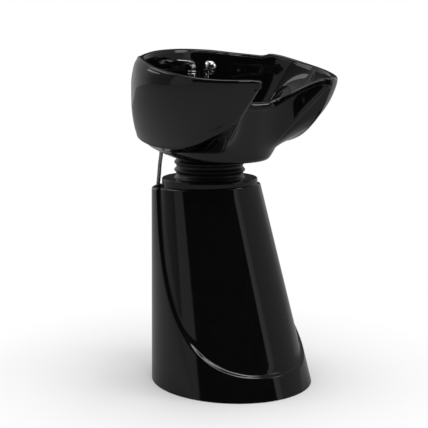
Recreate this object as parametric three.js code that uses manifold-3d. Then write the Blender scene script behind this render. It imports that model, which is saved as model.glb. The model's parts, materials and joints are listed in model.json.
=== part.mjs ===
// Portable shampoo basin: a tilting ceramic bowl on a moulded pedestal with a steel frame inside.
// Millimetres, +Z up, the client's neck at -Y. The origin is on the floor, on the bellows' axis.
import * as THREE from 'three';
import { mergeVertices } from 'three/addons/utils/BufferGeometryUtils.js';
import Module from 'manifold-3d';

const wasm = await Module();
wasm.setup();

// Whole object
const contactGap = 0.3;
const overrun = 4;
const degree = Math.PI / 180;

// Pedestal shell
const baseHalfWidth = 234;
const baseHalfDepth = 252;
const baseCentreY = -106;
const topHalfWidth = 172;
const topHalfDepth = 164;
const topCentreY = 10;
const shellTopHeight = 577;
const shellTopFall = 8;
const shellTopRound = 7;
const shellWall = 5;
const panelInset = 9;
const ledgeBevel = 9;
const ledgeFootHeight = 70;
const ledgeReach = 97 * degree;
const ledgeSteepness = 3;
const shellOpeningRadius = 126;
const pipeNotchWidth = 130;
const pipeNotchHeight = 70;

// Raised cap
const capRise = 23;
const capTopHeight = shellTopHeight + capRise;
const capRadius = 144;
const capBevel = 5;
const capWall = 6;

// Bellows
const bellowsHeight = 70;
const bellowsRadius = 107;
const bellowsFoldDepth = 7;
const bellowsFolds = 3;
const bellowsWall = 3;
const bellowsSteps = 12;
const bellowsSides = 36;

// Steel frame inside the pedestal
const basePlateWidth = 300;
const basePlateDepth = 320;
const basePlateThickness = 8;
const basePlateCentreY = -100;
const uprightSize = 40;
const uprightWall = 3;
const uprightSpacing = 150;
const topPlateWidth = 230;
const topPlateDepth = 96;
const topPlateThickness = 6;
const topPlateDrop = 40;
const topPlateHeight = capTopHeight - topPlateDrop;
const pipePassRadius = 42;
const crossBarHeight = 40;
const crossBarThickness = 6;
const crossBarLevel = 240;
const fixingBoltRadius = 4;
const boltHeadRadius = 7.5;
const boltHeadHeight = 5;
const spacerRadius = 9;
const shellBracketWidth = 26;
const shellBracketThickness = 3;
const shellBracketRise = 30;
const shellBracketOverlap = 30;

// Tilt mechanism
const tiltAxisHeight = capTopHeight + bellowsHeight / 2;
const tiltBaseWidth = 146;
const tiltBaseDepth = 92;
const tiltPlateThickness = 5;
const tiltLugRadius = 15;
const tiltLugThickness = 5;
const outerLugOffset = 62;
const tiltPinRadius = 5;
const tiltPinClearance = 0.3;
const tiltUpperWidth = 170;
const tiltUpperDepth = 96;
const tiltNutRadius = 10;
const tiltNutThickness = 7;
const tiltBoltSpacing = 110;
const tiltBoltDepthSpacing = 70;
const upperBoltSpacing = 140;

// Ceramic bowl
const bowlHeight = 268;
const rimRadius = 287;
const rimCentreY = -130;
const rimRoll = 9;
const rimSlope = 0.15;
const wingAngle = 152 * degree;
const wingHalfWidth = 130;
const wingTipY = rimCentreY + rimRadius * Math.cos(wingAngle);
const neckDepthY = -224;
const neckRoll = 14;
const neckDrop = 72.6;
const stepAtNeck = 3;
const stepRunShare = 0.3;
const lipWall = 10;
const noseRadius = 5;
const landStartAngle = 100 * degree;
const landEndShare = 0.4;
const landMargin = 4;
const landDish = 6;
const landCornerX = 158;
const landCornerY = -258;
const noseFootTurn = 6 * degree;
const shoulderRise = 6;
const shoulderDepth = 24;
const shoulderEndAngle = 80 * degree;
const shoulderGoneAngle = 120 * degree;
const wallPower = 1.6;
const bowlWall = 14;
const wallAtSeam = 27;
const wallDraft = 0.2;
const cheekDraft = 0.6;
const draftStartAngle = 70 * degree;
const draftEndAngle = 95 * degree;
const basinCornerShare = 0.15;
const wingCornerShare = 0.45;
const noseRollIn = 2;
const noseBlendAngle = 12 * degree;
const footRingShare = 0.965;
const skirtGap = 5;
const skirtBlendShare = 1.2;
const neckProbeShare = 0.01;
const neckSideFallShare = 0.35;
const neckSidePower = 2.5;
const footTurnShare = 0.985;
const heelRadius = 184;
const heelCentreY = -12;
const heelFrontY = -178;
const heelBackY = 140;
const heelHeightShare = 0.175;
const floorHeightShare = 0.115;
const deckHeightShare = 0.7;
const deckFrontY = 46;
const deckBlend = 8;
const drainHoleRadius = 24;
const drainSeatRadius = 37;
const drainSeatDepth = 4;
const footRecessRadius = 46;
const footRecessDepth = 17;
const cavityHeight = 90;
const cavityHalfWidth = 170;
const cavityFrontY = 61;
const cavityWall = 19;
const cavityRoofWall = 18;
const deckLowShare = 0.25;
const deckMiddleShare = 0.5;
const hosePassRadius = 10;
const showerPassX = 2;
const showerPassY = 84;
const supplyOffset = 27;
const supplyY = 70;
const hoseExitX = -120;
const hoseExitY = 80;
const cheekHeightShares = [0.12, 0.211, 0.276, 0.47, 0.612, 0.739, 0.82, 1, 1.2];
const cheekRadiusShares = [0.767, 0.826, 0.868, 0.958, 1, 1.021, 1.028, 1.017, 1.002];
const bodyHeightShares = [-0.041, -0.019, 0.03, 0.093];
const bodyRadiusShares = [0.436, 0.481, 0.568, 0.652];
const bodyCentreShares = [0.5, 0.477, 0.3, 0.138];
const throatInShare = 0.35;
const throatDownShare = 0.55;
const throatRows = 4;

// How far the rim leaves its slanting plane, for turns in degrees from the back
const rimTurns = [0, 20, 37, 50, 56, 60, 66, 76, 85, 95, 105, 120, 130, 140, 148, 152];
const rimRiseShares = [
  0, -0.004, -0.015, -0.015, -0.009, 0.019, 0.022, 0.007, -0.007, -0.015, -0.019, -0.019, -0.011, 0.004,
  0.017, 0.017,
];

// The swoosh's low edge, and how high and far in it rolls, for turns in degrees from the back
const swooshTurns = [0, 30, 58, 78, 94, 113, 122, 130, 136, 142, 145, 148, 150, 151, 152];
const swooshLowShares = [
  0.226, 0.22, 0.205, 0.165, 0.135, 0.133, 0.166, 0.217, 0.28, 0.345, 0.417, 0.51, 0.6, 0.675, 0.785,
];
const swooshRiseShares = [
  0.016, 0.018, 0.028, 0.022, 0.02, 0.025, 0.03, 0.035, 0.04, 0.04, 0.04, 0.04, 0.035, 0.025, 0.011,
];
const swooshReachShares = [
  0.014, 0.015, 0.02, 0.02, 0.021, 0.025, 0.028, 0.03, 0.03, 0.03, 0.03, 0.03, 0.027, 0.02, 0.0105,
];
const cheekCentreShares = [0.18, 0.3, 0.377, 0.615, 0.754, 0.846, 0.885, 0.96, 1];

// Bowl mesh counts
const cheekColumns = 22;
const cheekCrowding = 1.8;
const noseColumns = 2;
const neckColumns = 9;
const wallRows = 6;
const basinRows = 6;
const floorRows = 5;
const deckColumns = 40;
const cavityColumns = 32;

// Drain
const flangeRadius = 35;
const flangeThickness = 3;
const drainTubeRadius = 21;
const drainTubeBore = 18;
const gasketThickness = 2.5;
const drainNutRadius = 34;
const drainNutHeight = 12;
const strainerThickness = 2;
const strainerHoles = 8;
const strainerHoleRadius = 2.4;
const strainerHoleReachShare = 0.6;
const strainerSeatShare = 0.7;
const strainerKnobRadius = 4;
const strainerKnobHeight = 7;
const wasteHoseRadius = 19;
const couplingRadius = 27;
const couplingHeight = 16;

// Mixer
const mixerX = -5;
const mixerY = 84;
const mixerBaseRadius = 22;
const mixerBaseHeight = 6;
const mixerBodyRadius = 16;
const mixerBodyHeight = 50;
const mixerShoulder = 2;
const cartridgeRadius = 15;
const cartridgeHeight = 7;
const leverHubRadius = 9;
const leverHubLength = 26;
const leverReach = 53;
const leverWidth = 11;
const leverThickness = 5;
const leverRise = 16;
const leverReachShares = [0.06, 0.14, 0.02, -0.45, -1];
const leverRiseShares = [0, 0.65, 1, 1.25, 1.35];
const skirtRadius = 18;
const skirtBore = 16.2;
const skirtLength = 32;
const mixerNutRadius = 21.5;
const fixingNutHeight = 9;

// Hand shower
const sprayX = 52;
const sprayY = 84;
const holderRadius = 19;
const holderHeight = 22;
const holderBore = 11.2;
const holderTailRadius = 14;
const holderTail = 34;
const holderStep = 3;
const holderTaper = 5;
const sprayHandleRadius = 9.6;
const sprayHandleLength = 84;
const sprayHeadRadius = 23;
const sprayHeadDepth = 26;
const sprayHeadBackShare = 0.7;
const sprayHeadFrontShare = 0.3;
const sprayHandleBelowShare = 0.35;
const sprayHeadSteps = 6;
const sprayHeadLift = 10;
const sprayHeadShiftX = 2;
const sprayHeadShiftY = -14;
const sprayFaceRadius = 18;
const sprayFaceThickness = 3;
const sprayTilt = 75 * degree;
const sprayTurn = 7 * degree;

// Hoses
const hoseRadius = 6;
const supplyHoseRadius = 5;
const ferruleRadius = 8;
const ferruleLength = 14;
const tailRecess = 3;
const connectorRadius = 10;
const connectorLength = 16;
const grommetRadius = 9.5;
const grommetLip = 1.2;
const grommetDepth = 8;
const hoseGrommetX = -128;
const hoseGrommetY = 88;

// Finishes
function finish(color, roughness, metalness) {
  return new THREE.MeshStandardMaterial({ color, roughness, metalness });
}
const glazedCeramic = finish(0x0a0a0b, 0.06, 0);
const glossShell = finish(0x0b0b0c, 0.1, 0);
const rubber = finish(0x111112, 0.62, 0);
const chrome = finish(0xd8dadc, 0.08, 1);
const steel = finish(0x8d9093, 0.35, 1);
const paintedSteel = finish(0x2b2d30, 0.5, 0.4);
const braid = finish(0xb4b8bb, 0.3, 1);
const brass = finish(0xc9a452, 0.3, 1);
const darkPlastic = finish(0x1c1c1e, 0.4, 0);
const greyPlastic = finish(0x9a9c9e, 0.5, 0);

const group = new THREE.Group();

function add(name, geometry, material) {
  const mesh = new THREE.Mesh(geometry, material);
  mesh.name = name;
  group.add(mesh);
  return mesh;
}

// Solid helpers
function toSolid(geometry) {
  const plain = geometry.clone();
  for (const key of Object.keys(plain.attributes)) {
    if (key !== 'position') plain.deleteAttribute(key);
  }
  const merged = mergeVertices(plain, 1e-4);
  return new wasm.Manifold(new wasm.Mesh({
    numProp: 3,
    vertProperties: new Float32Array(merged.attributes.position.array),
    triVerts: new Uint32Array(merged.index.array),
  }));
}

function toGeometry(solid) {
  const mesh = solid.getMesh();
  const geometry = new THREE.BufferGeometry();
  geometry.setAttribute('position', new THREE.BufferAttribute(new Float32Array(mesh.vertProperties), 3));
  geometry.setIndex(new THREE.BufferAttribute(new Uint32Array(mesh.triVerts), 1));
  geometry.computeVertexNormals();
  return geometry;
}

function cut(first, ...rest) {
  return rest.reduce((solid, tool) => solid.subtract(tool), first);
}

function join(first, ...rest) {
  return rest.reduce((solid, piece) => solid.add(piece), first);
}

function box(width, depth, height, x = 0, y = 0, z = 0) {
  const geometry = new THREE.BoxGeometry(width, depth, height);
  geometry.translate(x, y, z + height / 2);
  return toSolid(geometry);
}

function rod(radius, height, x = 0, y = 0, z = 0, sides = 24) {
  const geometry = new THREE.CylinderGeometry(radius, radius, height, sides);
  geometry.rotateX(Math.PI / 2);
  geometry.translate(x, y, z + height / 2);
  return toSolid(geometry);
}

function rodAlongX(radius, length, x, y, z, sides = 14) {
  const geometry = new THREE.CylinderGeometry(radius, radius, length, sides);
  geometry.rotateZ(Math.PI / 2);
  geometry.translate(x, y, z);
  return toSolid(geometry);
}

function hexNut(acrossRadius, height, x, y, z) {
  return rod(acrossRadius, height, x, y, z, 6);
}

function turned(points, sides = 32) {
  const profile = points.map(([radius, height]) => new THREE.Vector2(radius, height));
  const geometry = new THREE.LatheGeometry([...profile, profile[0].clone()], sides);
  geometry.rotateX(Math.PI / 2);
  return toSolid(geometry);
}

function ring(outer, inner, height, z, sides = 28) {
  return turned([[inner, z], [outer, z], [outer, z + height], [inner, z + height]], sides);
}

function roundedPlate(width, depth, thickness, corner, y, z) {
  const w = width / 2;
  const d = depth / 2;
  const shape = new THREE.Shape();
  shape.moveTo(w - corner, -d);
  shape.absarc(w - corner, -d + corner, corner, -Math.PI / 2, 0, false);
  shape.absarc(w - corner, d - corner, corner, 0, Math.PI / 2, false);
  shape.absarc(-w + corner, d - corner, corner, Math.PI / 2, Math.PI, false);
  shape.absarc(-w + corner, -d + corner, corner, Math.PI, 1.5 * Math.PI, false);
  const geometry = new THREE.ExtrudeGeometry(shape, {
    depth: thickness, bevelEnabled: false, curveSegments: 3,
  });
  geometry.translate(0, y, z);
  return toSolid(geometry);
}

// Rings of points, bottom to top with their faces outwards, closed by a fan at each end
function stackRings(rings) {
  const count = rings[0].length;
  const positions = rings.flat(2);
  const index = [];
  for (let row = 0; row + 1 < rings.length; row += 1) {
    for (let i = 0; i < count; i += 1) {
      const a = row * count + i;
      const b = row * count + (i + 1) % count;
      index.push(a, b, b + count, a, b + count, a + count);
    }
  }
  const last = (rings.length - 1) * count;
  for (let i = 1; i + 1 < count; i += 1) {
    index.push(0, i + 1, i, last, last + i, last + i + 1);
  }
  return indexed(positions, index);
}

// Rings that close on themselves like a tyre
function loopRings(rings) {
  const count = rings[0].length;
  const rows = rings.length;
  const index = [];
  for (let row = 0; row < rows; row += 1) {
    for (let i = 0; i < count; i += 1) {
      const next = ((row + 1) % rows) * count;
      const a = row * count + i;
      const b = row * count + (i + 1) % count;
      const c = next + (i + 1) % count;
      const d = next + i;
      index.push(a, b, c, a, c, d);
    }
  }
  return indexed(rings.flat(2), index);
}

function indexed(positions, index) {
  const geometry = new THREE.BufferGeometry();
  geometry.setAttribute('position', new THREE.Float32BufferAttribute(positions, 3));
  geometry.setIndex(index);
  return geometry;
}

// A round tube with an even number of sides along hand-placed points
function tubeAlong(points, radius, sides, steps) {
  const curve = new THREE.CatmullRomCurve3(points.map(([x, y, z]) => new THREE.Vector3(x, y, z)));
  const shape = new THREE.Shape();
  shape.absarc(0, 0, radius, 0, 2 * Math.PI, false);
  return toSolid(new THREE.ExtrudeGeometry(shape, {
    extrudePath: curve, steps, curveSegments: sides / 2, bevelEnabled: false,
  }));
}

// Pedestal
function pedestalPoint(angle, height, inset) {
  const share = height / shellTopHeight;
  const halfWidth = THREE.MathUtils.lerp(baseHalfWidth, topHalfWidth, share) - inset;
  const halfDepth = THREE.MathUtils.lerp(baseHalfDepth, topHalfDepth, share) - inset;
  const centre = THREE.MathUtils.lerp(baseCentreY, topCentreY, share);
  return [halfWidth * Math.sin(angle), centre - halfDepth * Math.cos(angle), height];
}

function shellTopAt(y) {
  return shellTopHeight - shellTopFall * (y - topCentreY) / topHalfDepth;
}

function pedestalLoft(inset, from, to, rows = 2, columns = 48) {
  const rings = [];
  for (let row = 0; row <= rows; row += 1) {
    const share = row / rows;
    rings.push(Array.from({ length: columns }, (_, i) => {
      const angle = 2 * Math.PI * i / columns;
      const low = pedestalPoint(angle, from, inset);
      const high = pedestalPoint(angle, shellTopHeight, inset);
      const top = to(high[1]);
      return pedestalPoint(angle, from + (top - from) * share, inset);
    }));
  }
  return rings;
}

// Height of the U-shaped ledge at an angle from the front
function ledgeHeight(angle, reach, foot) {
  const share = Math.min(Math.abs(angle) / reach, 1) ** ledgeSteepness;
  return THREE.MathUtils.lerp(foot, shellTopHeight + panelInset, 1 - Math.sqrt(1 - share));
}

// The recess of the front panel: a U seen from the front, with a bevelled edge
function panelCutter(inset, grow) {
  const columns = 32;
  const reach = ledgeReach + grow / topHalfWidth;
  const foot = ledgeFootHeight - grow;
  const top = shellTopHeight + 2 * panelInset;
  const outReach = reach + ledgeBevel / topHalfWidth;
  const rings = Array.from({ length: columns + 1 }, (_, i) => {
    const angle = reach * Math.sin((i / columns - 0.5) * Math.PI);
    const low = Math.min(ledgeHeight(angle, reach, foot), top - panelInset);
    const outLow = Math.min(ledgeHeight(angle, outReach, foot - ledgeBevel), low);
    return [pedestalPoint(angle, low, inset), pedestalPoint(angle, top, inset),
      pedestalPoint(angle, top, -overrun), pedestalPoint(angle, outLow - overrun, -overrun)];
  });
  return toSolid(stackRings(rings));
}

function makePedestalShell() {
  const edge = pedestalLoft(0, 0, (y) => shellTopAt(y) - shellTopRound);
  for (const turn of [30, 60, 90]) {
    const rise = shellTopRound * Math.sin(turn * degree);
    const inset = shellTopRound * (1 - Math.cos(turn * degree));
    edge.push(pedestalLoft(inset, 0, (y) => shellTopAt(y) - shellTopRound + rise, 1).at(-1));
  }
  const outer = toSolid(stackRings(edge));
  const hollow = pedestalLoft(shellWall, -overrun, (y) => shellTopAt(y) - shellWall, 1);
  const inner = cut(toSolid(stackRings(hollow)), panelCutter(panelInset + shellWall, shellWall));
  const opening = rod(shellOpeningRadius, shellTopHeight, 0, 0, shellTopHeight / 2);
  const notchWidth = pipeNotchWidth / 2;
  const notchSide = pipeNotchHeight - notchWidth + overrun;
  const arch = join(
    box(pipeNotchWidth, baseHalfDepth, notchSide, 0, baseHalfDepth / 2, -overrun),
    toSolid(new THREE.CylinderGeometry(notchWidth, notchWidth, baseHalfDepth, 32)
      .translate(0, baseHalfDepth / 2, pipeNotchHeight - notchWidth)),
  );
  const grommetHole = rod(grommetRadius + contactGap, 12 * shellWall, hoseGrommetX, hoseGrommetY,
    shellTopHeight - 6 * shellWall);
  return cut(outer, inner, panelCutter(panelInset, 0), opening, arch, grommetHole);
}

// A block whose underside slopes with the shell's top
function belowShellTop(lift) {
  const reach = 2 * baseHalfDepth;
  const geometry = new THREE.BoxGeometry(reach, reach, reach);
  geometry.translate(0, 0, -reach / 2);
  geometry.rotateX(-Math.atan2(shellTopFall, topHalfDepth));
  geometry.translate(0, topCentreY, shellTopHeight + lift);
  return toSolid(geometry);
}

function makeCap() {
  const low = shellTopHeight - 4 * capWall;
  const cap = turned([
    [capRadius - capWall, low], [capRadius, low], [capRadius, capTopHeight - capBevel],
    [capRadius - capBevel, capTopHeight], [pipePassRadius, capTopHeight],
    [pipePassRadius, capTopHeight - capWall], [capRadius - capWall, capTopHeight - capWall],
  ], 56);
  const hoseHoles = innerHosePlaces().map(([x, y]) => (
    rod(hosePassRadius, 4 * capWall, x, y, capTopHeight - 2 * capWall, 14)));
  return cut(cap, belowShellTop(contactGap), ...capBoltHoles(), ...hoseHoles);
}

function capBoltHoles() {
  return tiltBoltPlaces().map(([x, y]) => (
    rod(fixingBoltRadius + contactGap, 6 * capWall, x, y, capTopHeight - 3 * capWall, 10)));
}

// Bellows between the cap and the bowl
function bellowsRadiusAt(share) {
  const fold = Math.cos(2 * Math.PI * bellowsFolds * share);
  return bellowsRadius - bellowsFoldDepth / 2 * (1 - fold);
}

function makeBellows() {
  const low = capTopHeight + contactGap;
  const span = bellowsHeight - 2 * contactGap;
  const outside = [];
  const inside = [];
  for (let step = 0; step <= bellowsSteps; step += 1) {
    const share = step / bellowsSteps;
    outside.push([bellowsRadiusAt(share), low + span * share]);
    inside.push([bellowsRadiusAt(share) - bellowsWall, low + span * share]);
  }
  return turned([...outside, ...inside.reverse()], bellowsSides);
}

// Steel frame
function tiltBoltPlaces() {
  const x = tiltBoltSpacing / 2;
  const y = tiltBoltDepthSpacing / 2;
  return [[-x, -y], [x, -y], [-x, y], [x, y]];
}

function makeBasePlate() {
  return roundedPlate(basePlateWidth, basePlateDepth, basePlateThickness, 3 * basePlateThickness,
    basePlateCentreY, 0);
}

function makeUpright(side) {
  const x = side * uprightSpacing / 2;
  const low = basePlateThickness + contactGap;
  const height = topPlateHeight - contactGap - low;
  const outer = box(uprightSize, uprightSize, height, x, 0, low);
  const inner = box(uprightSize - 2 * uprightWall, uprightSize - 2 * uprightWall, height + 2 * overrun,
    x, 0, low - overrun);
  return cut(outer, inner);
}

function makeCrossBar() {
  const clear = uprightSpacing - uprightSize - 2 * contactGap;
  const y = (crossBarThickness - uprightSize) / 2;
  return box(clear, crossBarThickness, crossBarHeight, 0, y, crossBarLevel);
}

// Brackets tie the shell's foot to the base plate
function makeSideBracket(side) {
  const low = basePlateThickness + contactGap;
  const inset = shellWall + 2 * shellBracketThickness;
  const outside = pedestalPoint(Math.PI / 2, low + shellBracketRise, inset)[0];
  const inside = basePlateWidth / 2 - shellBracketOverlap;
  const middle = side * (outside + inside) / 2;
  const wall = side * (outside - shellBracketThickness / 2);
  return join(
    box(outside - inside, shellBracketWidth, shellBracketThickness, middle, baseCentreY, low),
    box(shellBracketThickness, shellBracketWidth, shellBracketRise, wall, baseCentreY, low));
}

function makeFrontBracket() {
  const low = basePlateThickness + contactGap;
  const inset = shellWall + 2 * shellBracketThickness;
  const outside = pedestalPoint(0, low + shellBracketRise, inset)[1];
  const wall = outside + shellBracketThickness / 2;
  const inside = basePlateCentreY - basePlateDepth / 2 + shellBracketOverlap;
  return join(
    box(shellBracketWidth, inside - outside, shellBracketThickness, 0, (outside + inside) / 2, low),
    box(shellBracketWidth, shellBracketThickness, shellBracketRise, 0, wall, low));
}

function makeTopPlate() {
  const plate = roundedPlate(topPlateWidth, topPlateDepth, topPlateThickness, 2 * topPlateThickness, 0,
    topPlateHeight);
  const holes = tiltBoltPlaces().map(([x, y]) => (
    rod(fixingBoltRadius + contactGap, 4 * topPlateThickness, x, y, topPlateHeight - topPlateThickness, 10)));
  return cut(plate, rod(pipePassRadius, 4 * topPlateThickness, 0, 0, topPlateHeight - topPlateThickness),
    ...holes);
}

// Spacers hold the cap's top clear of the frame's plate
function makeSpacer([x, y]) {
  const low = topPlateHeight + topPlateThickness + contactGap;
  const high = capTopHeight - capWall - contactGap;
  return cut(rod(spacerRadius, high - low, x, y, low, 16),
    rod(fixingBoltRadius + contactGap, 2 * high, x, y, 0, 10));
}

function makeTiltBolt([x, y]) {
  const seat = capTopHeight + contactGap + tiltPlateThickness + contactGap;
  const low = topPlateHeight - 2 * topPlateThickness;
  return join(rod(fixingBoltRadius, seat - low, x, y, low, 10),
    hexNut(boltHeadRadius, boltHeadHeight, x, y, seat));
}

// Tilt mechanism
function lug(x, base) {
  const height = Math.abs(tiltAxisHeight - base);
  const low = Math.min(base, tiltAxisHeight);
  return join(box(tiltLugThickness, 2 * tiltLugRadius, height, x, 0, low),
    rodAlongX(tiltLugRadius, tiltLugThickness, x, 0, tiltAxisHeight, 20));
}

function pinHole(x, length) {
  return rodAlongX(tiltPinRadius + tiltPinClearance, length, x, 0, tiltAxisHeight);
}

function makeTiltBase() {
  const low = capTopHeight + contactGap;
  const plate = roundedPlate(tiltBaseWidth, tiltBaseDepth, tiltPlateThickness, tiltPlateThickness, 0, low);
  const holes = tiltBoltPlaces().map(([x, y]) => (
    rod(fixingBoltRadius + contactGap, 4 * tiltPlateThickness, x, y, low - tiltPlateThickness, 10)));
  const body = join(plate, lug(outerLugOffset, low), lug(-outerLugOffset, low));
  return cut(body, rod(pipePassRadius, 4 * tiltPlateThickness, 0, 0, low - tiltPlateThickness),
    pinHole(0, 4 * outerLugOffset), ...holes);
}

const innerLugOffset = outerLugOffset - tiltLugThickness - contactGap;
const upperPlateLow = capTopHeight + bellowsHeight - contactGap - tiltPlateThickness;

function upperBoltPlaces() {
  const x = upperBoltSpacing / 2;
  const y = tiltBoltDepthSpacing / 2;
  return [[-x, -y], [x, -y], [-x, y], [x, y]];
}

function makeTiltUpper() {
  const plate = roundedPlate(tiltUpperWidth, tiltUpperDepth, tiltPlateThickness, 2 * tiltPlateThickness, 0,
    upperPlateLow);
  const top = upperPlateLow + tiltPlateThickness;
  const start = upperPlateLow - tiltPlateThickness;
  const holes = upperBoltPlaces().map(([x, y]) => (
    rod(fixingBoltRadius + contactGap, 4 * tiltPlateThickness, x, y, start, 10)));
  const body = join(plate, lug(innerLugOffset, top), lug(-innerLugOffset, top));
  return cut(body, rod(pipePassRadius, 4 * tiltPlateThickness, 0, 0, start),
    pinHole(0, 4 * outerLugOffset), ...holes);
}

function makeTiltPin(side) {
  const inside = innerLugOffset - tiltLugThickness;
  const outside = outerLugOffset + tiltLugThickness / 2 + contactGap;
  const length = outside - inside;
  const x = side * (inside + outside) / 2;
  const headX = side * (outside + boltHeadHeight / 2);
  return join(rodAlongX(tiltPinRadius, length, x, 0, tiltAxisHeight),
    rodAlongX(boltHeadRadius, boltHeadHeight, headX, 0, tiltAxisHeight, 6));
}

function makeTiltNut(side) {
  const x = side * (innerLugOffset - tiltLugThickness / 2 - contactGap - tiltNutThickness / 2);
  return cut(rodAlongX(tiltNutRadius, tiltNutThickness, x, 0, tiltAxisHeight, 6),
    pinHole(x, 2 * tiltNutThickness));
}

function makeUpperBolt([x, y]) {
  const top = capTopHeight + bellowsHeight + footRecessDepth / 2;
  const seat = upperPlateLow - contactGap;
  return join(rod(fixingBoltRadius, top - seat, x, y, seat, 10),
    hexNut(boltHeadRadius, boltHeadHeight, x, y, seat - boltHeadHeight));
}

// Ceramic bowl, as rings that run from the drain over the rim to the foot
const footHeight = capTopHeight + bellowsHeight;
const meanRimHeight = footHeight + bowlHeight;

function heightAt(share) {
  return footHeight + bowlHeight * share;
}

function alongTable(stations, values, at) {
  const last = stations.length - 1;
  const clamped = Math.min(Math.max(at, stations[0]), stations[last]);
  let i = 0;
  while (i < last - 1 && clamped > stations[i + 1]) i += 1;
  const share = (clamped - stations[i]) / (stations[i + 1] - stations[i]);
  const slopeAt = (k) => {
    const a = Math.max(k - 1, 0);
    const b = Math.min(k + 1, last);
    return (values[b] - values[a]) / (stations[b] - stations[a]);
  };
  const width = stations[i + 1] - stations[i];
  const s2 = share * share;
  const s3 = s2 * share;
  return (2 * s3 - 3 * s2 + 1) * values[i] + (s3 - 2 * s2 + share) * width * slopeAt(i)
    + (3 * s2 - 2 * s3) * values[i + 1] + (s3 - s2) * width * slopeAt(i + 1);
}

function cheekPoint(angle, height, inset) {
  const share = (height - footHeight) / bowlHeight;
  const radius = rimRadius * alongTable(cheekHeightShares, cheekRadiusShares, share) - inset;
  const centre = rimCentreY * alongTable(cheekHeightShares, cheekCentreShares, share);
  return [radius * Math.sin(angle), centre + radius * Math.cos(angle), height];
}

function rimHeightAt(y) {
  return meanRimHeight + rimSlope * (y - rimCentreY);
}

// The rim dips a little round the back, steps up where the cheeks begin, and lifts at the wings
function rimRise(angle) {
  return bowlHeight * alongTable(rimTurns, rimRiseShares, angle / degree);
}

function swooshAt(angle) {
  const turn = angle / degree;
  return {
    low: heightAt(alongTable(swooshTurns, swooshLowShares, turn)),
    step: bowlHeight * alongTable(swooshTurns, swooshRiseShares, turn),
    stepReach: rimRadius * alongTable(swooshTurns, swooshReachShares, turn),
  };
}

// The U of the neck cut-out in plan, from the wing's side to the middle of the lip
function neckTurn(share) {
  return (1 - (1 - share) ** 2) * Math.PI / 2;
}

function neckCurve(share) {
  const turn = neckTurn(share);
  const x = (wingHalfWidth - rimRoll) * Math.sqrt(Math.max(Math.cos(turn), 0));
  const back = neckDepthY;
  const front = wingTipY + 2 * rimRoll;
  const inwards = Math.sin(turn);
  const tip = rimHeightAt(wingTipY) - rimRoll + rimRise(wingAngle);
  const side = (x / (wingHalfWidth - rimRoll)) ** neckSidePower * (1 - neckSideFallShare * inwards);
  return [x, front + (back - front) * inwards, tip - neckDrop * (1 - side)];
}

function landCorner() {
  return [landCornerX, landCornerY, rimHeightAt(wingTipY) - rimRoll - landDish + rimRise(wingAngle)];
}

function cheekSeam(angle) {
  const radius = rimRadius - 2 * rimRoll - landMargin;
  const y = rimCentreY + (rimRadius - rimRoll) * Math.cos(angle);
  return [radius * Math.sin(angle), rimCentreY + radius * Math.cos(angle),
    rimHeightAt(y) - rimRoll + rimRise(angle)];
}

function neckNormal(share) {
  const ahead = neckCurve(Math.min(share + neckProbeShare, 1));
  const behind = neckCurve(Math.max(share - neckProbeShare, 0));
  const along = [ahead[0] - behind[0], ahead[1] - behind[1]];
  const length = Math.hypot(...along);
  return share >= 1 ? [0, -1] : [-along[1] / length, along[0] / length];
}

function neckSeam(share) {
  const here = neckCurve(share);
  const normal = neckNormal(share);
  const reach = THREE.MathUtils.lerp(rimRoll, neckRoll, share) + landMargin;
  return [here[0] - reach * normal[0], here[1] - reach * normal[1], here[2]];
}

// One column for each place along half of the rim
function cheekColumn(share) {
  const angle = wingAngle * (1 - (1 - share) ** cheekCrowding);
  const normal = [Math.sin(angle), Math.cos(angle)];
  const radius = rimRadius - rimRoll;
  const y = rimCentreY + radius * normal[1];
  const centre = [radius * normal[0], y, rimHeightAt(y) - rimRoll + rimRise(angle)];
  const land = Math.max((angle - landStartAngle) / (wingAngle - landStartAngle), 0);
  return {
    centre,
    normal,
    roll: rimRoll,
    angle,
    land,
    edge: lerpPoint(cheekSeam(Math.min(angle, landStartAngle)), landCorner(), land),
    rollIn: THREE.MathUtils.lerp(rimRoll, noseRollIn,
      THREE.MathUtils.smoothstep(angle, wingAngle - noseBlendAngle, wingAngle)),
    footAngle: angle * footTurnShare,
    ...swooshAt(angle),
    cheek: true,
  };
}

function noseColumn(share) {
  const start = cheekColumn(1);
  const turn = wingAngle + (1.5 * Math.PI - wingAngle) * share;
  const normal = [Math.sin(turn), Math.cos(turn)];
  const centre = [
    start.centre[0] + noseRadius * (normal[0] - start.normal[0]),
    start.centre[1] + noseRadius * (normal[1] - start.normal[1]), start.centre[2]];
  return {
    ...start,
    centre,
    normal,
    footAngle: start.footAngle,
    footStep: share / 3,
    step: THREE.MathUtils.lerp(start.step, stepAtNeck, share),
    stepReach: THREE.MathUtils.lerp(start.stepReach, stepAtNeck, share),
    low: THREE.MathUtils.lerp(start.low, centre[2] - lipWall, share),
    cheek: false,
  };
}

function neckColumn(share) {
  const here = neckCurve(share);
  const normal = neckNormal(share);
  const roll = THREE.MathUtils.lerp(rimRoll, neckRoll, share);
  const land = 1 - Math.min(share / landEndShare, 1);
  return {
    centre: here,
    normal,
    roll,
    angle: wingAngle,
    edge: lerpPoint(neckSeam(Math.max(share, landEndShare)), landCorner(), land),
    rollIn: THREE.MathUtils.lerp(noseRollIn, roll, THREE.MathUtils.smoothstep(share, 0, landEndShare)),
    land,
    footAngle: THREE.MathUtils.lerp(wingAngle * footTurnShare + noseFootTurn / 2, Math.PI, share),
    step: stepAtNeck,
    stepReach: stepAtNeck,
    low: here[2] - lipWall,
    cheek: false,
    neck: true,
  };
}

function lerpPoint(from, to, share) {
  return from.map((value, i) => value + (to[i] - value) * share);
}

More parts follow.
